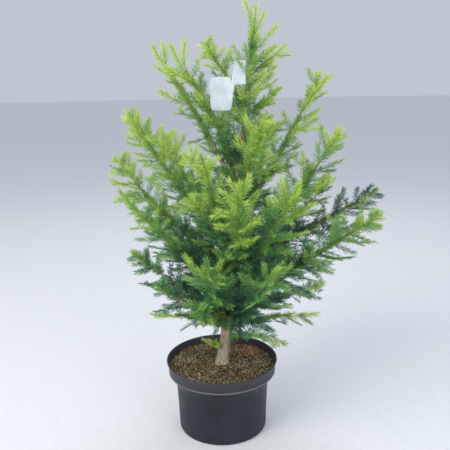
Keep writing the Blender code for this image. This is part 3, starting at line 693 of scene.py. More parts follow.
# Limbs with no shoots near the tip.
PLAIN_TIPS = {"leader", "top_right", "upper_left", "upper_left_inner", "left_outer"}
PLAIN_TIPS |= {"left_drooping", "right_drooping"}
PLAIN_TIP_LENGTH = 0.085
SIDE_BEARING = 0.078  # length of a shoot that is long enough to branch
SIDE_PART = (0.24, 0.86)  # share of a shoot where its side twigs begin and end
SIDE_SPACING = 0.020
SIDE_SHARE = (0.42, 0.30)  # of the shoot's length, from its first side twig to its last
SIDE_PLAY = (0.8, 1.15)
SIDE_OPENING = 50
SIDE_OPENING_PLAY = 8
SIDE_TILT = (-0.12, 0.22)  # out of the shoot's plane
SIDE_LEAST = 0.016
SIDE_MARGIN = 0.002
STEM_LEAFY = 0.22  # share of a limb where its own needles begin
STEM_OUT = 0.6  # how far out its needles count as standing
TRUNK_OUT = 0.8
TRUNK_SHOOTS = (0.262, 0.900)  # heights between which short shoots stand on the trunk
TRUNK_SHOOT_SPACING = 0.0030
TRUNK_SHOOT_GATHER = 1.7  # more of them low down
TRUNK_SHOOT_LENGTHS = (0.055, 0.105)
TRUNK_SHOOT_RISE = (0.5, 1.3)
TRUNK_SHOOT_DEPTH = 0.8  # share of the trunk's radius at which they start
TRUNK_LEAFY = (0.775, 0.855, 0.945)  # heights between which the young trunk's own needles stand
# Stronger shoots on the upper trunk: height, degrees round from +X, rise, length.
TRUNK_BRUSHES = (
    (0.902, 4, 0.75, 0.078), (0.858, 350, 0.60, 0.080), (0.835, 12, 0.45, 0.082),
    (0.790, 352, 0.50, 0.084), (0.752, 15, 0.45, 0.084), (0.735, 345, 0.55, 0.080),
    (0.935, 300, 1.30, 0.050), (0.925, 60, 1.30, 0.048), (0.905, 120, 1.20, 0.050),
    (0.830, 165, 0.80, 0.060), (0.765, 190, 0.80, 0.070), (0.780, 95, 0.70, 0.080),
    (0.845, 80, 0.80, 0.075), (0.700, 255, 0.60, 0.085), (0.665, 292, 0.60, 0.090),
    (0.630, 238, 0.60, 0.095), (0.685, 222, 0.70, 0.080), (0.600, 270, 0.60, 0.090),
    (0.925, 8, 1.05, 0.092), (0.960, 350, 2.00, 0.066), (0.775, 250, 0.45, 0.085),
    (0.800, 255, 0.85, 0.080), (0.672, 186, 0.50, 0.112), (0.690, 172, 0.45, 0.095),
    (0.952, 95, 2.00, 0.062),
)
# The same on some limbs, with a share of the limb for the height.
LIMB_BRUSHES = {
    "right_upper": (
        (0.42, 345, 0.10, 0.062), (0.66, 355, 0.10, 0.072), (0.73, 2, 0.45, 0.066),
        (0.82, 350, 0.50, 0.064), (0.91, 5, 0.60, 0.058),
    ),
    "right_middle": ((0.68, 0, 0.20, 0.050),),
    "right_inner": ((0.56, 350, 0.20, 0.056), (0.68, 350, 0.05, 0.066), (0.75, 0, 0.30, 0.064)),
    "left_plume": ((0.72, 185, 0.20, 0.060),),
    "upper_left": ((0.34, 195, -0.30, 0.058),),
    "left_outer": ((0.50, 200, -0.60, 0.056), (0.62, 185, -0.05, 0.070)),
}
TUFT = 0.010  # needles reach this far past a twig's own tip
DROOP = (0.05, 0.30)  # of a twig's middle, as a share of its length
SIDE_BEND = 0.2
OUT_BY_REACH = 0.55
OUT_BY_HEIGHT = 0.45
RISE_LEAST = 0.05  # of a limb, for that height

# A twig's order: it ends a limb, is a main or a finer shoot or a side twig, or is a limb's own stem.
END, MAIN, FINE, SIDE, STEM = range(5)
# way is a unit vector, face the way its flat side looks, sag what bends it and line its limb's. Out goes
# from 0 at the trunk to 1 at the crown's edge.
Twig = namedtuple("Twig", "base way length face sag line order out")


def twig_point(twig, share):
    return twig.base + twig.way * (twig.length * share) + twig.sag * (share * share - share)


def grown(shoot, line, order, draw):
    """A shoot as a twig, a little shorter for the needles at its tip and bent by its own weight."""
    length = shoot.length - TUFT
    up = shoot.face if shoot.face.z > 0 else -shoot.face
    sag = up * (length * draw.uniform(*DROOP))
    sag += shoot.heading.cross(up) * (length * draw.uniform(-SIDE_BEND, SIDE_BEND))
    tip = shoot.base + shoot.heading * length
    height = (tip.z - line.foot.z) / max(RISE_LEAST, line.limb.height - line.foot.z)
    out = OUT_BY_REACH * math.hypot(tip.x, tip.y) / line.limb.reach + OUT_BY_HEIGHT * height
    return Twig(shoot.base, shoot.heading, length, up, sag, line, order, min(1.0, max(0.0, out)))


def fine_shoots(line, draw):
    """Weaker shoots all along a limb: crowded inside the crown, wide open and apart on its outer part."""
    share = max(FINE_FIRST, line.start)
    last = FINE_LAST
    if line.limb.name in PLAIN_TIPS:
        last = 1 - PLAIN_TIP_LENGTH / line.length()
    turn = draw.uniform(0, math.tau)
    twigs = []
    while share < last:
        outer = max(0.0, (share - FINE_OPEN_FROM) / (1 - FINE_OPEN_FROM))
        turn += GOLDEN_ANGLE + draw.uniform(-TURN_PLAY, TURN_PLAY)
        if outer > 0:
            opening = between(OUTER_OPENING, outer)
            full = between(OUTER_LENGTHS, outer) * draw.uniform(*OUTER_PLAY)
        else:
            opening = between(OPENING, share)
            full = line.limb.spread * between(FINE_LENGTHS, share / FINE_OPEN_FROM)
            full *= draw.uniform(*FINE_PLAY)
        opening = math.radians(opening + draw.uniform(-OPENING_PLAY, OPENING_PLAY))
        roll = math.radians(draw.uniform(-ROLL_PLAY, ROLL_PLAY))
        full *= line.limb.weak
        shoot = next(fitting(line, share, turn, opening, roll, full, FINE_SWINGS, *FINE_ROOM), None)
        if shoot:
            twigs.append(grown(shoot, line, FINE, draw))
        airy = min(1.0, max(0.0, (line.point(share).z - AIRY_FROM) / AIRY_RISE))
        spacing = FINE_SPACING[1] * line.limb.apart if outer > 0 else between(FINE_SPACING, airy)
        share += spacing * draw.uniform(*FINE_SPACING_PLAY) / line.length()
    return twigs


def side_twigs(parent, draw):
    """Short twigs left and right in the shoot's own plane."""
    across = parent.way.cross(parent.face).normalized()
    count = int(parent.length * (SIDE_PART[1] - SIDE_PART[0]) / SIDE_SPACING + draw.random())
    hand = draw.choice((-1, 1))
    twigs = []
    for i in range(count):
        along = (i + 0.3 + 0.4 * draw.random()) / count
        share = between(SIDE_PART, along)
        hand = -hand
        opening = math.radians(SIDE_OPENING + draw.uniform(-SIDE_OPENING_PLAY, SIDE_OPENING_PLAY))
        out = across * (hand * math.sin(opening)) + parent.face * draw.uniform(*SIDE_TILT)
        way = (parent.way * math.cos(opening) + out).normalized()
        length = parent.length * between(SIDE_SHARE, along) * draw.uniform(*SIDE_PLAY)
        base = twig_point(parent, share)
        reach = [base + way * (length * step) for step in (0.4, 0.7, 1.0)]
        if length > SIDE_LEAST and SPACE.holds(parent.line, reach, SIDE_MARGIN):
            shoot = Shoot(base, way, parent.face, length + TUFT, 0.0)
            twigs.append(grown(shoot, parent.line, SIDE, draw))
    return twigs


def leafy_stem(line):
    """The outer part of a limb's own stem, which bears needles too: the same curve, as one long twig."""
    last = 1 - end_length(line) / line.length()
    first = 0.0 if line.limb is LEADER else max(STEM_LEAFY, line.start)
    base, tip = line.point(first), line.point(last)
    chord = tip - base
    bow = (line.foot - line.bend * 2 + line.tip) * (last - first) ** 2
    way = chord.normalized()
    return Twig(base, way, chord.length, blade_face(way, 0.0), bow, line, STEM, STEM_OUT)


def trunk_shoots(draw):
    """Short shoots that stand on the trunk itself, between the limbs."""
    twigs = []
    count = round((TRUNK_SHOOTS[1] - TRUNK_SHOOTS[0]) / TRUNK_SHOOT_SPACING)
    for i in range(count):
        height = between(TRUNK_SHOOTS, ((i + draw.random()) / count) ** TRUNK_SHOOT_GATHER)
        share = trunk_share(height)
        turn = i * GOLDEN_ANGLE
        out = Vector((math.cos(turn), math.sin(turn), draw.uniform(*TRUNK_SHOOT_RISE))).normalized()
        start = trunk_radius(share) * TRUNK_SHOOT_DEPTH
        base = trunk_point(share) + Vector((out.x, out.y, 0)) * start
        length = draw.uniform(*TRUNK_SHOOT_LENGTHS) * (1.2 - 0.5 * height)
        shoot = Shoot(base, out, blade_face(out, draw.uniform(-1.2, 1.2)), length, 0.0)
        if not SPACE.near_label(np.array([base + out * length])):
            twigs.append(grown(shoot, nearest_line(base), FINE, draw))
    for low, high in zip(TRUNK_LEAFY, TRUNK_LEAFY[1:]):
        base, tip = (trunk_point(trunk_share(height)) for height in (low, high))
        way, length = (tip - base).normalized(), (tip - base).length
        face = blade_face(way, 0.0)
        twigs.append(Twig(base, way, length, face, Vector(), LINES[-1], STEM, TRUNK_OUT))
    for height, *row in TRUNK_BRUSHES:
        base = trunk_point(trunk_share(height))
        twigs.append(brush(nearest_line(base), base, *row, draw))
    return twigs


def brush(line, base, degrees, rise, length, draw):
    """A stronger shoot that stands where the crown has one."""
    turn = math.radians(degrees)
    out = Vector((math.cos(turn), math.sin(turn), rise)).normalized()
    shoot = Shoot(base, out, blade_face(out, draw.uniform(-1.0, 1.0)), length, 0.0)
    return grown(shoot, line, MAIN, draw)


def nearest_line(spot):
    """The limb whose shoots a shoot on the trunk stands among."""
    return min(LINES, key=lambda line: (line.point(0.2) - spot).length)


def limb_twigs(line):
    draw = random.Random(SEED * END_SEED + 2 * END_SEED + line.number)
    twigs = [grown(END_SHOOTS[line.number], line, END, draw)]
    twigs += [grown(shoot, line, MAIN, draw) for shoot in MAIN_SHOOTS[line.number]]
    twigs += fine_shoots(line, draw)
    for share, *row in LIMB_BRUSHES.get(line.limb.name, ()):
        twigs.append(brush(line, line.point(share), *row, draw))
    for parent in list(twigs):
        plain = parent.order == END and line.limb.name in PLAIN_TIPS
        if parent.length > SIDE_BEARING and not plain:
            twigs += side_twigs(parent, draw)
    twigs.append(leafy_stem(line))
    return twigs


TWIGS = [twig for line in LINES for twig in limb_twigs(line)]
TWIGS += trunk_shoots(random.Random(SEED))
print(f"{len(TWIGS)} twigs, {sum(twig.length for twig in TWIGS):.0f} m in all")

# %% [markdown]
# ## Needles
#
# A yew needle is a flat narrow strip, 20 to 25 mm long and little over 2 mm wide, with a short stalk and a
# sharp tip. It could be a card with a picture on it, but a card is wrong from the side and needs an image.
# Here it is a closed shape of six triangles: a three-sided ring, drawn to a point at each end.
#
# On a spreading shoot the needles twist into two flat ranks, left and right. On an upright one, and on a
# limb's own stem, they stand all round. They open widely near the shoot's foot, lean forward at its tip,
# and are shorter at both ends.

# %% The needle's shape
NEEDLE_WIDEST = 0.42  # share of its length


def needle_shape():
    """Along X from 0 to 1, one wide in Y and one thick in Z."""
    bm = bmesh.new()
    stand = Matrix.Translation((NEEDLE_WIDEST, 0, 0)) @ Matrix.Rotation(math.pi / 2, 4, "Y")
    bmesh.ops.create_circle(bm, segments=3, radius=0.5, matrix=stand)
    ring = list(bm.edges)
    for end in (0.0, 1.0):
        grown_part = bmesh.ops.extrude_edge_only(bm, edges=ring)["geom"]
        points = [part for part in grown_part if isinstance(part, bmesh.types.BMVert)]
        bmesh.ops.pointmerge(bm, verts=points, merge_co=(end, 0, 0))
    return pattern_from(bm)


NEEDLE = needle_shape()
print(f"needle: {len(NEEDLE.triangles)} triangles, {NEEDLE.corners.min(0)} to {NEEDLE.corners.max(0)}")

# %% Needles along every twig
NEEDLE_LENGTH = 0.0205
NEEDLE_WIDTH = 0.0022
NEEDLE_THICKNESS = 0.0009
NEEDLE_PITCH = (0.00130, 0.00078)  # between one and the next, on old shoots inside and on young ones
NEEDLES_LEAST = 8
STEM_PITCH = 0.00048  # on a limb's own stem, where they stand all round
STEM_OPENING = 50
STEM_NEEDLES = 0.80  # needles on a limb's own stem are shorter
LEADER_NEEDLES = 1.04  # the strongest shoot has the longest needles
NEEDLE_OPENING = (60, 24)  # degrees, at a twig's foot and at its tip
NEEDLE_OPENING_PLAY = 3.5
NEEDLE_BARE = 0.07  # share of a twig before its first needle
NEEDLE_LIFT = (0.20, 0.34)  # radians over the flat of the shoot, and its spread
NEEDLE_CURL = (-0.30, 0.10)  # of its length
NEEDLE_TWIST = 0.25
NEEDLE_PLAY = (0.90, 1.06)
NEEDLE_SWELL = (0.58, 0.42)  # size at a twig's ends, and what its middle has more,
NEEDLE_ARCH = (0.16, 0.70)  # along this part of a half wave
SHORT_TWIG = (0.54, 0.15)  # size on the shortest twigs, and metres of twig that add a whole one
UPRIGHT = (0.30, 0.85)  # rise of a twig between two flat ranks and needles all round

needle_draw = np.random.default_rng(SEED)


def unit(rows):
    return rows / np.linalg.norm(rows, axis=1)[:, None]


def needles_on(twig):
    """Places, directions and sizes of a twig's needles, and how far along the twig each one stands."""
    span = twig.length * (1 - NEEDLE_BARE)
    on_stem = twig.order == STEM
    pitch = STEM_PITCH if on_stem else between(NEEDLE_PITCH, twig.out)
    count = max(NEEDLES_LEAST, round(span / pitch))
    order = np.arange(count)
    share = NEEDLE_BARE + (1 - NEEDLE_BARE) * (order + needle_draw.uniform(0.1, 0.9, count)) / count
    way, face, sag = (np.array(part) for part in (twig.way, twig.face, twig.sag))
    across = np.cross(way, face)
    across /= np.linalg.norm(across)
    face = np.cross(across, way)
    base = np.array(twig.base) + share[:, None] * twig.length * way + (share**2 - share)[:, None] * sag
    lift = needle_draw.normal(*NEEDLE_LIFT, count)
    flat = np.where(order % 2 == 0, lift, math.pi - lift)
    erect = 1.0 if on_stem else np.clip((twig.way.z - UPRIGHT[0]) / (UPRIGHT[1] - UPRIGHT[0]), 0, 1)
    turn = np.where(needle_draw.random(count) < erect, order * GOLDEN_ANGLE, flat)[:, None]
    opening = np.full(count, STEM_OPENING) if on_stem else between(NEEDLE_OPENING, share)
    opening = np.radians(opening + needle_draw.normal(0, NEEDLE_OPENING_PLAY, count))[:, None]
    along = way * np.cos(opening) + (across * np.cos(turn) + face * np.sin(turn)) * np.sin(opening)
    arch = math.pi * (NEEDLE_ARCH[0] + NEEDLE_ARCH[1] * share)
    size = NEEDLE_SWELL[0] + NEEDLE_SWELL[1] * np.sin(arch)
    size *= needle_draw.uniform(*NEEDLE_PLAY, count) * min(1.0, SHORT_TWIG[0] + twig.length / SHORT_TWIG[1])
    if on_stem:
        size *= STEM_NEEDLES
    if twig.order == END and twig.line.limb is LEADER:
        size *= LEADER_NEEDLES
    level = unit(np.cross(along, way))
    level = np.where((level @ face)[:, None] < 0, -level, level)
    level += needle_draw.normal(0, NEEDLE_TWIST, (count, 3))
    side = unit(np.cross(level, along))
    up = np.cross(along, side)
    curl = up * (NEEDLE_LENGTH * size * needle_draw.uniform(*NEEDLE_CURL, count))[:, None]
    along = along * (NEEDLE_LENGTH * size)[:, None]
    return Copies(base, along, side * NEEDLE_WIDTH, up * NEEDLE_THICKNESS, curl), share


GROWTH = [needles_on(twig) for twig in TWIGS]
print(f"{sum(len(share) for _, share in GROWTH)} needles")

# %% [markdown]
# ## How fresh each spray is
#
# New yew growth is a bright yellow green. It darkens over its first summer to a full green, and the old
# needles inside the crown are a dark blue green. A colour pattern laid over the whole crown would paint
# half a needle, so each twig is dealt one of seven plain greens, by how high it stands, how far out it
# reaches and a little chance, and the outer half of the twig gets a fresher one.

# %% The greens, dealt out by spray
GREENS = (
    ("needles_old_shaded", "#3B6858"),
    ("needles_old", "#4A7E60"),
    ("needles_blue_green", "#57965C"),
    ("needles_mature", "#70A658"),
    ("needles_summer", "#8FBA5A"),
    ("needles_young", "#A8C95A"),
    ("needles_new", "#C2DA68"),
)
FRESH_HEIGHTS = (0.25, 1.0)
FRESH_FLOOR = -0.065
FRESH_BY_HEIGHT = 0.445
FRESH_BY_REACH = 0.52
FRESH_PLAY = 0.19
ORDER_FRESHNESS = (0.10, 0.02, -0.10, 0.0, -0.10)
FRESH_TIPS = {"right_far": 0.76, "left_drooping": 0.25, "right_drooping": 0.25}  # end shoots of new growth
FRESH_SHARE = 0.50  # of a twig, from its foot to where its newest growth begins
FRESH_GROWTH = 0.20  # how much fresher that is
shade_draw = random.Random(SEED)


def freshness(twig):
    """From 0, the oldest green, to 1, the newest, and a little past either."""
    tip = twig_point(twig, 1.0)
    height = (tip.z - FRESH_HEIGHTS[0]) / (FRESH_HEIGHTS[1] - FRESH_HEIGHTS[0])
    lean = twig.line.limb.fresh + ORDER_FRESHNESS[twig.order]
    if twig.order == END:
        lean += FRESH_TIPS.get(twig.line.limb.name, 0.0)
    place = FRESH_FLOOR + FRESH_BY_HEIGHT * height + FRESH_BY_REACH * twig.out
    return place + lean + shade_draw.uniform(-FRESH_PLAY, FRESH_PLAY)


def shade_number(fresh):
    return int(min(len(GREENS) - 1, max(0, fresh * len(GREENS))))


FRESH = [freshness(twig) for twig in TWIGS]
DEALT = [[] for _ in GREENS]
for twig, fresh, (copies, share) in zip(TWIGS, FRESH, GROWTH):
    for part, chosen in ((share < FRESH_SHARE, fresh), (share >= FRESH_SHARE, fresh + FRESH_GROWTH)):
        DEALT[shade_number(chosen)].append(Copies(*(rows[part] for rows in copies)))
print([sum(len(copies.base) for copies in shade) for shade in DEALT])

# %% Needle pieces, one green each
MOST_TRIANGLES = 190000


def needle_pieces(name, code, shade):
    """All needles of one green. A piece that would grow too large is made as several."""
    material, _ = new_material(name, Base_Color=rgb(code), Roughness=0.36, IOR=1.47)
    rows = Copies(*(np.concatenate(part) for part in zip(*shade)))
    most = MOST_TRIANGLES // len(NEEDLE.triangles)
    count = math.ceil(len(rows.base) / most)
    for i, chosen in enumerate(np.array_split(np.arange(len(rows.base)), count)):
        part = copied(NEEDLE, Copies(*(column[chosen] for column in rows)))
        show(joined(f"{name}_{i + 1}", [part], material), "foliage", *MASSES)


for (name, code), shade in zip(GREENS, DEALT):
    needle_pieces(name, code, shade)

# %% [markdown]
# ## Twigs
#
# Under its needles a yew shoot is green for a year or two, then it turns brown. A twig is a thin rod that
# narrows to its tip, of five sides and three lengths, so that it can bend with the sag that its needles
# follow.

# %% Twigs, young and old
TWIG_DIAMETERS = (0.0026, 0.0024, 0.0017, 0.0014)  # by order
TWIG_SIDES = 5
TWIG_CUTS = 2
TWIG_NARROWING = 0.48  # of the tip against the foot
OLD_BELOW = 0.42  # freshness under which a twig is brown


def rod(sides, cuts, foot, tip, matrix):
    """A closed rod one long, of two radii, laid by the matrix, its side cut across this many times."""
    bm = bmesh.new()
    size = dict(radius1=foot, radius2=tip, depth=1)
    bmesh.ops.create_cone(bm, cap_ends=True, segments=sides, matrix=matrix, **size)
    long_edges = [edge for edge in bm.edges if edge.calc_length() > 0.9]
    bmesh.ops.subdivide_edges(bm, edges=long_edges, cuts=cuts)
    return bm


ALONG_X = Matrix.Translation((0.5, 0, 0)) @ Matrix.Rotation(math.pi / 2, 4, "Y")
TWIG = pattern_from(rod(TWIG_SIDES, TWIG_CUTS, 0.5, 0.5 * TWIG_NARROWING, ALONG_X))


def rods(twigs):
    """A rod for each twig, with the thickness of its order."""
    rows = []
    for twig in twigs:
        thick = TWIG_DIAMETERS[twig.order]
        side = twig.way.cross(twig.face).normalized() * thick
        rows.append((twig.base, twig.way * twig.length, side, twig.face * thick, twig.sag))
    return copied(TWIG, copies_from(rows))


green_twig, _ = new_material("green_twig_skin", Base_Color=rgb("#7C9A42"), Roughness=0.55)
brown_twig, _ = new_material("brown_twig_skin", Base_Color=rgb("#6B4E35"), Roughness=0.8)
aged = [(twig, fresh < OLD_BELOW) for twig, fresh in zip(TWIGS, FRESH) if twig.order != STEM]
young_rods = rods([twig for twig, old in aged if not old])
old_rods = rods([twig for twig, old in aged if old])
show(joined("twigs_young", [young_rods], green_twig), "foliage", *MASSES)
show(joined("twigs_old", [old_rods], brown_twig), "bark", *MASSES)

# %% [markdown]
# ## Bark
#
# A young yew's bark is thin. It dries grey beige and lifts in narrow upright strips over a warmer brown.
# The strips are long, so their noise is stretched along the trunk. The larger ones are real relief, moved
# into a dense mesh, and the fine ones are bump. Each limb swells where it leaves the trunk.

# %% Bark finish
BARK_STRIP = 2.6  # mm, width of a strip
BARK_FLAKE = 9.0  # mm

bark, bark_shader = new_material("yew_bark", IOR=1.45)
strips = grain(bark, BARK_STRIP, 4.0, stretch=(1, 1, 0.12))
flakes = grain(bark, BARK_FLAKE, 3.0, stretch=(1, 1, 0.35))
strip_tone = ramp(bark, strips, (0.30, "#65503E"), (0.46, "#9A866E"), (0.58, "#BFAF96"), (0.75, "#D8CCB4"))
flake_tone = ramp(bark, flakes, (0.42, "#8C7058"), (0.56, "#C9BBA2"))
flake_share = ramp(bark, flakes, (0.35, 0.15), (0.65, 0.55))
bark_tone = mix(bark, flake_share, strip_tone, flake_tone)
bark_rough = ramp(bark, strips, (0.3, 0.95), (0.7, 0.78))
feed(bark, bark_shader, {"Base Color": bark_tone, "Roughness": bark_rough})
bumped(bark, bark_shader, strips, 0.6)

# %% The trunk
TRUNK_SIDES = 44
TRUNK_RINGS = 200
TRUNK_RING_GATHER = 1.2  # more of them near the foot
BARK_RELIEF = 0.00045
RELIEF_RADIUS = 0.008  # of a trunk thick enough for the whole relief
FOOT_ROOTS = 0.0012  # three ridges that run down into the first roots
FOOT_ROOTS_HEIGHT = 0.012
COLLAR_SWELL = 0.0011
COLLAR_MOST = 1.4  # where the collars of several limbs meet
COLLAR_SIZE = 0.010


def unit_tube(sides, rings):
    """A closed tube along Z from 0 to 1, one in radius."""
    return rod(sides, rings, 1, 1, Matrix.Translation((0, 0, 0.5)))


def bark_relief(turn, height):
    """How far the bark stands out, in metres, at a place round and up the trunk."""
    strip = noise.noise(Vector((math.cos(turn) * 5, math.sin(turn) * 5, height * 14)))
    knot = noise.noise(Vector((math.cos(turn) * 2, math.sin(turn) * 2, height * 60 + 9)))
    return BARK_RELIEF * (strip * 1.6 + knot * 0.9)


def collar(turn, height):
    """How far the trunk swells towards the limbs near a place on it."""
    swell = 0.0
    for line in LINES[:-1]:
        where = line.point(line.start)
        round_about = math.radians(line.limb.heading) - turn
        round_about = math.atan2(math.sin(round_about), math.cos(round_about))
        away = math.hypot(round_about * trunk_radius(trunk_share(where.z)), height - where.z)
        swell += math.exp(-((away / COLLAR_SIZE) ** 2))
    return COLLAR_SWELL * min(COLLAR_MOST, swell)


def make_trunk():
    bm = unit_tube(TRUNK_SIDES, TRUNK_RINGS)
    for vert in bm.verts:
        share = TRUNK_SHARE * vert.co.z**TRUNK_RING_GATHER
        turn = math.atan2(vert.co.y, vert.co.x)
        centre = trunk_point(share)
        above = centre.z - TRUNK_FOOT.z
        roots = FOOT_ROOTS * math.exp(-above / FOOT_ROOTS_HEIGHT) * (0.4 + math.cos(3 * turn + 0.8))
        radius = trunk_radius(share)
        relief = bark_relief(turn, centre.z) * min(1.0, radius / RELIEF_RADIUS) + collar(turn, centre.z)
        out = Vector((math.cos(turn), math.sin(turn), 0))
        inside = math.hypot(vert.co.x, vert.co.y)
        vert.co = centre + out * ((radius + relief + roots) * inside)
    return mesh_from(bm, "trunk_bark", bark, smooth=60)


show(make_trunk(), "bark", "trunk")

# %% The boughs and the leafy stems
BOUGH_SIDES = 10
BOUGH_RINGS = 24
BOUGH_COLLAR = 0.55  # how much thicker a bough is where it leaves the trunk
BOUGH_COLLAR_LENGTH = 0.008
BOUGH_RELIEF = 0.0003
STEM_OVERLAP = 0.01  # share of the limb by which a stem starts inside its bough


def bent_tube(line, first, last, tube):
    """The unit tube laid along a limb's line from one share of it to another."""
    side = line.side()
    corners = []
    for x, y, z in tube.corners:
        share = first + (last - first) * z
        lift = line.heading(share).cross(side).normalized()
        out = max(0.0, share - line.start) * line.length()
        swell = BOUGH_COLLAR * math.exp(-out / BOUGH_COLLAR_LENGTH)
        ripple = noise.noise(Vector((x * 3, y * 3, share * line.length() * 90 + line.limb.heading)))
        radius = line.radius_at(share) * (1 + swell) + BOUGH_RELIEF * ripple
        corners.append(line.point(share) + (side * x + lift * y) * radius)
    return np.array(corners), tube.triangles


def bough_end(line):
    """Boughs are bark up to where the frame's boughs end, or for a short way on a slender limb."""
    return max(line.limb.bough, min(0.3, line.start + 0.08))


def stem_end(line):
    return 1 - (1 - STEM_IN_END) * end_length(line) / line.length()


stem_finish = dict(stops=(0.30, 0.52), IOR=1.45)
stem_skin, stem_shader = mottled("olive_stem_skin", "#7A6A3C", "#8A9A4A", 12.0, **stem_finish)
stem_rough = ramp(stem_skin, grain(stem_skin, 3.0, 2.0), (0.3, 0.75), (0.7, 0.6))
feed(stem_skin, stem_shader, {"Roughness": stem_rough})
tube = pattern_from(unit_tube(BOUGH_SIDES, BOUGH_RINGS))
bough_parts = [bent_tube(line, line.start * 0.5, bough_end(line), tube) for line in LINES[:-1]]
stem_parts = [bent_tube(line, bough_end(line) - STEM_OVERLAP, stem_end(line), tube) for line in LINES]
bough_mesh = joined("boughs_bark", [joined_parts(bough_parts)], bark)
stem_mesh = joined("leafy_stems", [joined_parts(stem_parts)], stem_skin)
for mesh in (bough_mesh, stem_mesh):
    mesh.shade_smooth()
show(bough_mesh, "bark", *BOUGHS)
show(stem_mesh, "bark", *MASSES)

# %% [markdown]
# ## The pot
#
# A nursery pot is injection moulded from recycled black polypropylene: a plain tapering wall, a shoulder,
# and a stiff band with a rolled lip. Its outline is spun round the axis in fine steps, so that the rim is a
# true circle. The new plastic is satin, but a pot that has stood outside carries a film of dust, heavier
# near its foot, with drips washed down through it, and pale scuffs. Under its band a pale line is painted
# highlight, the light caught along the step there, and the band above it is a little paler with dust.

# %% Pot finish
DUST_PATCH = 45.0  # mm
DRIP_WIDTH = 5.0  # mm
SCUFF_SIZE = 2.2  # mm
DUSTY_UP_TO = 0.14  # height on the wall
BAND_FROM = 0.145  # height under the band, where the pale line is

plastic, plastic_shader = new_material("moulded_black_polypropylene", IOR=1.49)
patches = grain(plastic, DUST_PATCH, 5.0)
drips = grain(plastic, DRIP_WIDTH, 3.0, stretch=(1, 1, 0.10))
scuffs = grain(plastic, SCUFF_SIZE, 2.0)
where = add(plastic, "TexCoord")
height = add(plastic, "SeparateXYZ", {0: where.outputs["Object"]}).outputs["Z"]
near_foot = {"Value": height, "From Max": DUSTY_UP_TO, "To Min": 0.16, "To Max": 0.0}
low = add(plastic, "MapRange", near_foot).outputs[0]
wet = add(plastic, "Math", {0: patches, 1: low}, operation="ADD").outputs[0]
streaked = add(plastic, "Math", {0: drips, 1: 0.45, 2: wet}, operation="MULTIPLY_ADD").outputs[0]
dusty = mix(plastic, ramp(plastic, streaked, (0.60, 0.0), (1.0, 0.60)), "#0B0D16", "#2A2F40")
scuffed = mix(plastic, ramp(plastic, scuffs, (0.74, 0.0), (0.80, 0.40)), dusty, "#8D9398")
# Painted highlight: a thin pale line at the band's lower edge stands in for the light caught on the step,
# and the band above it is a little paler with dust.
up_band = {"Value": height, "From Min": BAND_FROM, "From Max": POT_HEIGHT}
band = add(plastic, "MapRange", up_band).outputs[0]
band_highlight_and_dust = ramp(plastic, band, (0.12, 0.0), (0.16, 0.50), (0.22, 0.50), (0.27, 0.06), (1.0, 0.13))
pot_colour = mix(plastic, band_highlight_and_dust, scuffed, "#8A8688")
pot_rough = ramp(plastic, streaked, (0.5, 0.36), (1.0, 0.66))
feed(plastic, plastic_shader, {"Base Color": pot_colour, "Roughness": pot_rough})
wall_bump = bumped(plastic, plastic_shader, grain(plastic, 1.4, 3.0), 0.12)
bumped(plastic, plastic_shader, grain(plastic, 28.0, 2.0), 0.9, below=wall_bump)

# %% The pot
POT_BASE_RADIUS = 0.1115
POT_WALL = 0.0022
POT_FLOOR = 0.0026
POT_STEPS = 160
POT_SHARP = 35  # degrees between faces that meet in a sharp edge
BAND_FOOT = POT_HEIGHT - 0.030
SHOULDER = POT_HEIGHT - 0.056
WALL_TOP = POT_BASE_RADIUS + 0.0055
POT_OUTSIDE = (  # points of (radius, height)
    (0.0, 0.0), (0.1050, 0.0), (0.1078, 0.0004), (0.1100, 0.0012), (0.1111, 0.0026),
    (0.1116, 0.0048), (0.1126, 0.030), (0.1142, 0.075), (WALL_TOP - 0.0006, SHOULDER - 0.010),
    (WALL_TOP + 0.0002, SHOULDER - 0.002), (WALL_TOP + 0.0022, SHOULDER + 0.004),
    (0.1245, SHOULDER + 0.013), (0.1292, BAND_FOOT - 0.0060), (0.1312, BAND_FOOT - 0.0034),
    (0.1328, BAND_FOOT - 0.0024), (0.1346, BAND_FOOT - 0.0020), (0.1354, BAND_FOOT - 0.0012),
    (0.1356, BAND_FOOT), (0.1353, BAND_FOOT + 0.0012), (0.1346, BAND_FOOT + 0.0022),
    (0.1352, BAND_FOOT + 0.0080), (0.1370, BAND_FOOT + 0.0180), (0.1382, BAND_FOOT + 0.0252),
    (0.1386, BAND_FOOT + 0.0262), (0.1396, BAND_FOOT + 0.0268), (0.1400, BAND_FOOT + 0.0278),
    (0.1400, POT_HEIGHT - 0.0009), (0.1394, POT_HEIGHT - 0.0002), (0.1386, POT_HEIGHT),
)
POT_INSIDE = (
    (0.1374, POT_HEIGHT), (0.1366, POT_HEIGHT - 0.0004), (0.1361, POT_HEIGHT - 0.0014),
    (0.1345 - POT_WALL, BAND_FOOT + 0.0010), (WALL_TOP - POT_WALL, SHOULDER - 0.0010),
    (POT_BASE_RADIUS - POT_WALL, POT_FLOOR), (0.0, POT_FLOOR),
)
DRAIN_HOLES = 8
DRAIN_HOLE_RADIUS = 0.008
DRAIN_RING_RADIUS = 0.086


def drain_cutters():
    """Upright rods through the floor, one for each hole."""
    bm = bmesh.new()
    size = dict(radius1=DRAIN_HOLE_RADIUS, radius2=DRAIN_HOLE_RADIUS, depth=POT_FLOOR * 4)
    for number in range(DRAIN_HOLES):
        turn = math.tau * (number + 0.5) / DRAIN_HOLES
        spot = Vector((math.cos(turn), math.sin(turn), 0)) * DRAIN_RING_RADIUS
        bmesh.ops.create_cone(bm, cap_ends=True, segments=24, matrix=Matrix.Translation(spot), **size)
    return mesh_from(bm, "pot_holes")


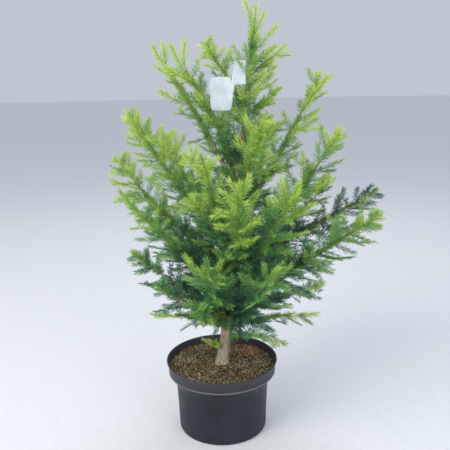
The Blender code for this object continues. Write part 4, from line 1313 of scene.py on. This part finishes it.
def make_pot():
    """The spun wall with the drain holes cut through its floor."""
    blank = turned("pot_blank", POT_OUTSIDE + POT_INSIDE, POT_STEPS, plastic, POT_SHARP)
    whole, holes = (bpy.data.objects.new(mesh.name, mesh) for mesh in (blank, drain_cutters()))
    for obj in (whole, holes):
        scene.collection.objects.link(obj)
    cut = whole.modifiers.new("holes", "BOOLEAN")
    cut.operation = "DIFFERENCE"
    cut.object = holes
    result = bpy.data.meshes.new_from_object(whole.evaluated_get(bpy.context.evaluated_depsgraph_get()))
    for obj in (whole, holes):
        bpy.data.objects.remove(obj)
    result.name = "pot_wall"
    return result


show(make_pot(), "pot_plastic", "pot")

# %% [markdown]
# ## The compost
#
# Potting compost is shredded peat and bark: dark, matt and crumbly, never flat. A spun disc with many rings
# gets a rolling surface, and loose pieces lie on it: crumbs, bark chips, with fresh red ones on one side, a
# little pale grit, and moss. The disc goes down inside the pot, and so it replaces the frame's root ball.

# %% Compost finish
compost, compost_shader = new_material("potting_compost", Roughness=0.95)
lumps = grain(compost, 7.0, 4.0)
fine = grain(compost, 4.2)
earth = ramp(compost, fine, (0.40, "#231D14"), (0.49, "#5A4C36"), (0.56, "#9C8A66"), (0.64, "#CDBD96"))
bark_rich = ramp(compost, fine, (0.40, "#1A120B"), (0.49, "#4A3524"), (0.56, "#8A6A48"), (0.66, "#C4A680"))
patchy = mix(compost, ramp(compost, grain(compost, 52.0), (0.44, 0.0), (0.56, 1.0)), earth, bark_rich)
mossy = ramp(compost, grain(compost, 38.0), (0.50, 0.0), (0.66, 0.4))
feed(compost, compost_shader, {"Base Color": mix(compost, mossy, patchy, "#5D6432")})
fine_bump = bumped(compost, compost_shader, fine, 1.2)
bumped(compost, compost_shader, lumps, 2.0, below=fine_bump)

# %% The compost's surface
SOIL_FLAT_RADIUS = 0.024
SOIL_EDGE_RADIUS = 0.100
SOIL_FALL = 0.0040
SOIL_WALL_FALL = 0.0030
SOIL_ROLL = 0.0022
SOIL_CALM = 0.03  # radius within which it rolls less
SOIL_WALL_RADIUS = 0.1334
SOIL_FOOT_RADIUS = 0.1190  # inside the pot's wall, which narrows below its band
SOIL_DEPTH = 0.018
SOIL_RINGS = 46
SOIL_STEPS = 150


def soil_height(x, y):
    """The compost falls away from the trunk, rises a little to the wall, and rolls in two sizes of lump."""
    out = math.hypot(x, y)
    if out < SOIL_EDGE_RADIUS:
        fall = SOIL_FALL * max(0.0, out - SOIL_FLAT_RADIUS) / (SOIL_EDGE_RADIUS - SOIL_FLAT_RADIUS)
    else:
        rise = (out - SOIL_EDGE_RADIUS) / (SOIL_WALL_RADIUS - SOIL_EDGE_RADIUS)
        fall = SOIL_FALL + (SOIL_WALL_FALL - SOIL_FALL) * rise
    roll = noise.noise(Vector((x * 60, y * 60, 3.0))) + 0.6 * noise.noise(Vector((x * 190, y * 190, 7.0)))
    calm = min(1.0, out / SOIL_CALM)
    return SOIL_TOP - fall + SOIL_ROLL * calm * (roll - 0.15)


def make_compost():
    top = [(SOIL_WALL_RADIUS * i / SOIL_RINGS, SOIL_TOP) for i in range(SOIL_RINGS + 1)]
    outline = top + [(SOIL_FOOT_RADIUS, SOIL_TOP - SOIL_DEPTH), (0.0, SOIL_TOP - SOIL_DEPTH)]
    mesh = turned("compost_surface", outline, SOIL_STEPS, compost, smooth=80)
    for vert in mesh.vertices:
        if vert.co.z > SOIL_TOP - 0.001:
            vert.co.z = soil_height(vert.co.x, vert.co.y)
    return mesh


show(make_compost(), "compost", "root_ball")

# %% Loose pieces on the compost
CRUMBS = 2400
CHIPS = 300
GRIT = 700
SOIL_CLEAR = 0.020  # loose pieces lie from here, round the trunk's foot,
SOIL_FAR = 0.128  # to here, near the wall
PINK_CHIPS = 190  # about one spot, as if tipped out there
PINK_MIDDLE = (0.078, 0.068)
PINK_SPREAD = (0.022, 0.016)
soil_draw = random.Random(SEED)


def crumb_shape():
    """A lump one across, out of round."""
    bm = bmesh.new()
    bmesh.ops.create_icosphere(bm, subdivisions=1, radius=0.5)
    for vert in bm.verts:
        vert.co *= soil_draw.uniform(0.75, 1.15)
    return pattern_from(bm)


def chip_shape():
    """A splinter one long, flat, with its ends narrowed."""
    bm = bmesh.new()
    bmesh.ops.create_cube(bm, size=1.0)
    ends = [face for face in bm.faces if abs(face.normal.x) > 0.9]
    bmesh.ops.inset_individual(bm, faces=ends, thickness=0.16, depth=0.14)
    bmesh.ops.scale(bm, vec=(0.8, 1, 1), verts=bm.verts)
    for vert in bm.verts:
        vert.co.z += 0.25 * math.sin(vert.co.x * 4 + vert.co.y * 2)
    return pattern_from(bm)


def soil_spot(clear=SOIL_CLEAR, far=SOIL_FAR):
    """A place on the compost, as likely in any part of the ring as in another of its size."""
    out = math.sqrt(soil_draw.uniform((clear / far) ** 2, 1.0)) * far
    turn = soil_draw.uniform(0, math.tau)
    return out * math.cos(turn), out * math.sin(turn)


def strewn(pattern, spots, length, slimness, flatness, tilt=0.5):
    """Copies lying about on the compost, turned any way and tipped a little."""
    rows = []
    for x, y in spots:
        size = soil_draw.uniform(*length)
        turn = Matrix.Rotation(soil_draw.uniform(0, math.tau), 3, "Z")
        tip = Matrix.Rotation(soil_draw.uniform(-tilt, tilt), 3, "X")
        lean = Matrix.Rotation(soil_draw.uniform(-tilt, tilt), 3, "Y")
        along, side, up = (turn @ tip @ lean).col
        width = size * soil_draw.uniform(*slimness)
        thick = size * soil_draw.uniform(*flatness)
        base = Vector((x, y, soil_height(x, y) + thick * 0.25))
        rows.append((base, along * size, side * width, up * thick, Vector()))
    return copied(pattern, copies_from(rows))


chip_bark, _ = mottled("shredded_pine_bark", "#3D3022", "#7C6648", 6.0, Roughness=0.9)
pink_bark, _ = mottled("fresh_bark_chips", "#8E5740", "#CE976F", 7.0, Roughness=0.9)
stone, _ = mottled("horticultural_grit", "#9A9484", "#CFC9B8", 5.0, Roughness=0.7)

CRUMB = crumb_shape()
CHIP = chip_shape()
crumb_spots = [soil_spot() for _ in range(CRUMBS)]
chip_spots = [soil_spot() for _ in range(CHIPS)]
pink_spots = [tuple(map(soil_draw.gauss, PINK_MIDDLE, PINK_SPREAD)) for _ in range(PINK_CHIPS)]
pink_spots = [spot for spot in pink_spots if math.hypot(*spot) < SOIL_FAR]
grit_spots = [soil_spot() for _ in range(GRIT)]
crumb_mesh = strewn(CRUMB, crumb_spots, (0.0022, 0.0066), (0.6, 1.0), (0.45, 0.9), tilt=1.5)
chip_mesh = strewn(CHIP, chip_spots, (0.005, 0.014), (0.2, 0.5), (0.10, 0.25))
pink_mesh = strewn(CHIP, pink_spots, (0.005, 0.012), (0.3, 0.6), (0.12, 0.30), tilt=0.8)
grit_mesh = strewn(CRUMB, grit_spots, (0.0014, 0.0034), (0.7, 1.0), (0.6, 0.9), tilt=1.5)
show(joined("compost_crumbs", [crumb_mesh], compost), "compost", "root_ball")
show(joined("bark_chips", [chip_mesh, pink_mesh], chip_bark, pink_bark), "compost", "root_ball")
show(joined("pale_grit", [grit_mesh], stone), "compost", "root_ball")

# %% Moss
MOSS_TUFTS = 46
MOSS_LEAVES = 16
MOSS_RING = (0.024, 0.126)  # its tufts' middles keep to this ring
MOSS_EDGE = 0.129
MOSS_SPREAD = 0.0035
MOSS_LEAN = 0.6
MOSS_LENGTHS = (0.0025, 0.0055)
MOSS_WIDTH = 0.0011

moss, _ = mottled("cushion_moss", "#4E6A1E", "#93A83C", 9.0, Roughness=0.9)


def moss_tufts():
    """Each tuft is a few of the needle's shapes, made small and set on end."""
    rows = []
    for _ in range(MOSS_TUFTS):
        middle = soil_spot(*MOSS_RING)
        for _ in range(MOSS_LEAVES):
            x, y = (centre + soil_draw.gauss(0, MOSS_SPREAD) for centre in middle)
            if math.hypot(x, y) > MOSS_EDGE:
                continue
            lean = (soil_draw.gauss(0, MOSS_LEAN), soil_draw.gauss(0, MOSS_LEAN))
            way = Vector((*lean, 1.0)).normalized()
            side = way.orthogonal().normalized()
            size = soil_draw.uniform(*MOSS_LENGTHS)
            base = Vector((x, y, soil_height(x, y)))
            rows.append((base, way * size, side * MOSS_WIDTH, way.cross(side) * MOSS_WIDTH, Vector()))
    return copied(NEEDLE, copies_from(rows))


show(joined("moss_tufts", [moss_tufts()], moss), "compost", "root_ball")

# %% [markdown]
# ## The label
#
# A loop label is a strip of white polypropylene sheet, slit so that it can be passed round the stem and
# hooked through itself. It stays blank. A thin sheet is easiest to make as a strip of faces that is given
# its thickness afterwards, by the Solidify operator.

# %% The label
sheet_finish = dict(Roughness=0.38, IOR=1.49)
sheet, sheet_shader = mottled("white_polypropylene_sheet", "#C6D0D9", "#DCE4EA", 22.0, **sheet_finish)
bumped(sheet, sheet_shader, grain(sheet, 16.0, 2.0), 0.5)


def make_label():
    """A strip three faces high along the label's route, then given its thickness."""
    bm = bmesh.new()
    columns = []
    for spot, half, lift in label_route(finer=4):
        middle = spot + Vector((0, 0, LABEL_LEVEL + lift))
        ends = (-half, -half / 3, half / 3, half)
        columns.append([bm.verts.new(middle + Vector((0, 0, end))) for end in ends])
    for near, far in zip(columns, columns[1:]):
        for i in range(3):
            bm.faces.new((near[i], near[i + 1], far[i + 1], far[i]))
    bmesh.ops.recalc_face_normals(bm, faces=bm.faces)
    bmesh.ops.solidify(bm, geom=bm.faces, thickness=LABEL_THICKNESS)
    return mesh_from(bm, "label_sheet", sheet, smooth=50)


show(make_label(), "label_plastic", "plant_label")

# %% [markdown]
# ## Floor, light and sky
#
# The plant stands on a plain pale floor under soft daylight. A large lamp on the left and above stands for
# the open sky, a weaker one fills the right, and an even pale blue world keeps the shade inside the crown
# from going black.

# %% Floor
FLOOR_RADIUS = 40.0
floor_bm = bmesh.new()
bmesh.ops.create_circle(floor_bm, cap_ends=True, segments=96, radius=FLOOR_RADIUS)
matt, _ = mottled("pale_floor_paint", "#EAEBED", "#EFF0F2", 14.0, 4.0, Roughness=0.85)
floor = bpy.data.objects.new("floor", mesh_from(floor_bm, "floor", matt))
scene.collection.objects.link(floor)
floor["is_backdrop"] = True

# %% Lights
CROWN_MIDDLE = Vector((0.03, 0.0, 0.55))


def lamp(name, place, size, watts, code):
    """A round lamp, size metres across, turned to the middle of the crown."""
    light = bpy.data.lights.new(name, "AREA")
    light.shape = "DISK"
    light.size = size
    light.energy = watts
    light.color = rgb(code)[:3]
    aim = (CROWN_MIDDLE - Vector(place)).to_track_quat("-Z", "Y")
    obj = bpy.data.objects.new(name, light)
    obj.matrix_world = Matrix.Translation(place) @ aim.to_matrix().to_4x4()
    scene.collection.objects.link(obj)


lamp("sky_left", (-1.9, -1.9, 2.6), 2.2, 68, "#FFFDF2")
lamp("fill_right", (1.6, -2.2, 1.3), 2.0, 20, "#F2F6FF")
lamp("top_back", (0.4, 1.6, 2.9), 1.8, 20, "#F4F8FF")
world = bpy.data.worlds.new("sky")
world.use_nodes = True
sky = world.node_tree.nodes["Background"]
sky.inputs["Color"].default_value = rgb("#CFD6E2")
sky.inputs["Strength"].default_value = 0.84
scene.world = world
scene.view_settings.view_transform = "Standard"

# %% [markdown]
# ## Size
#
# Both boxes, the frame's and the dressed plant's, are printed. The dressed plant may stand only a little
# outside its frame's box.

# %% Sizes and the end
VISUAL_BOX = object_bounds()
for name, box in (("frame", CAD_BOX), ("dressed", VISUAL_BOX)):
    print(name, [[round(value, 4) for value in corner] for corner in box])
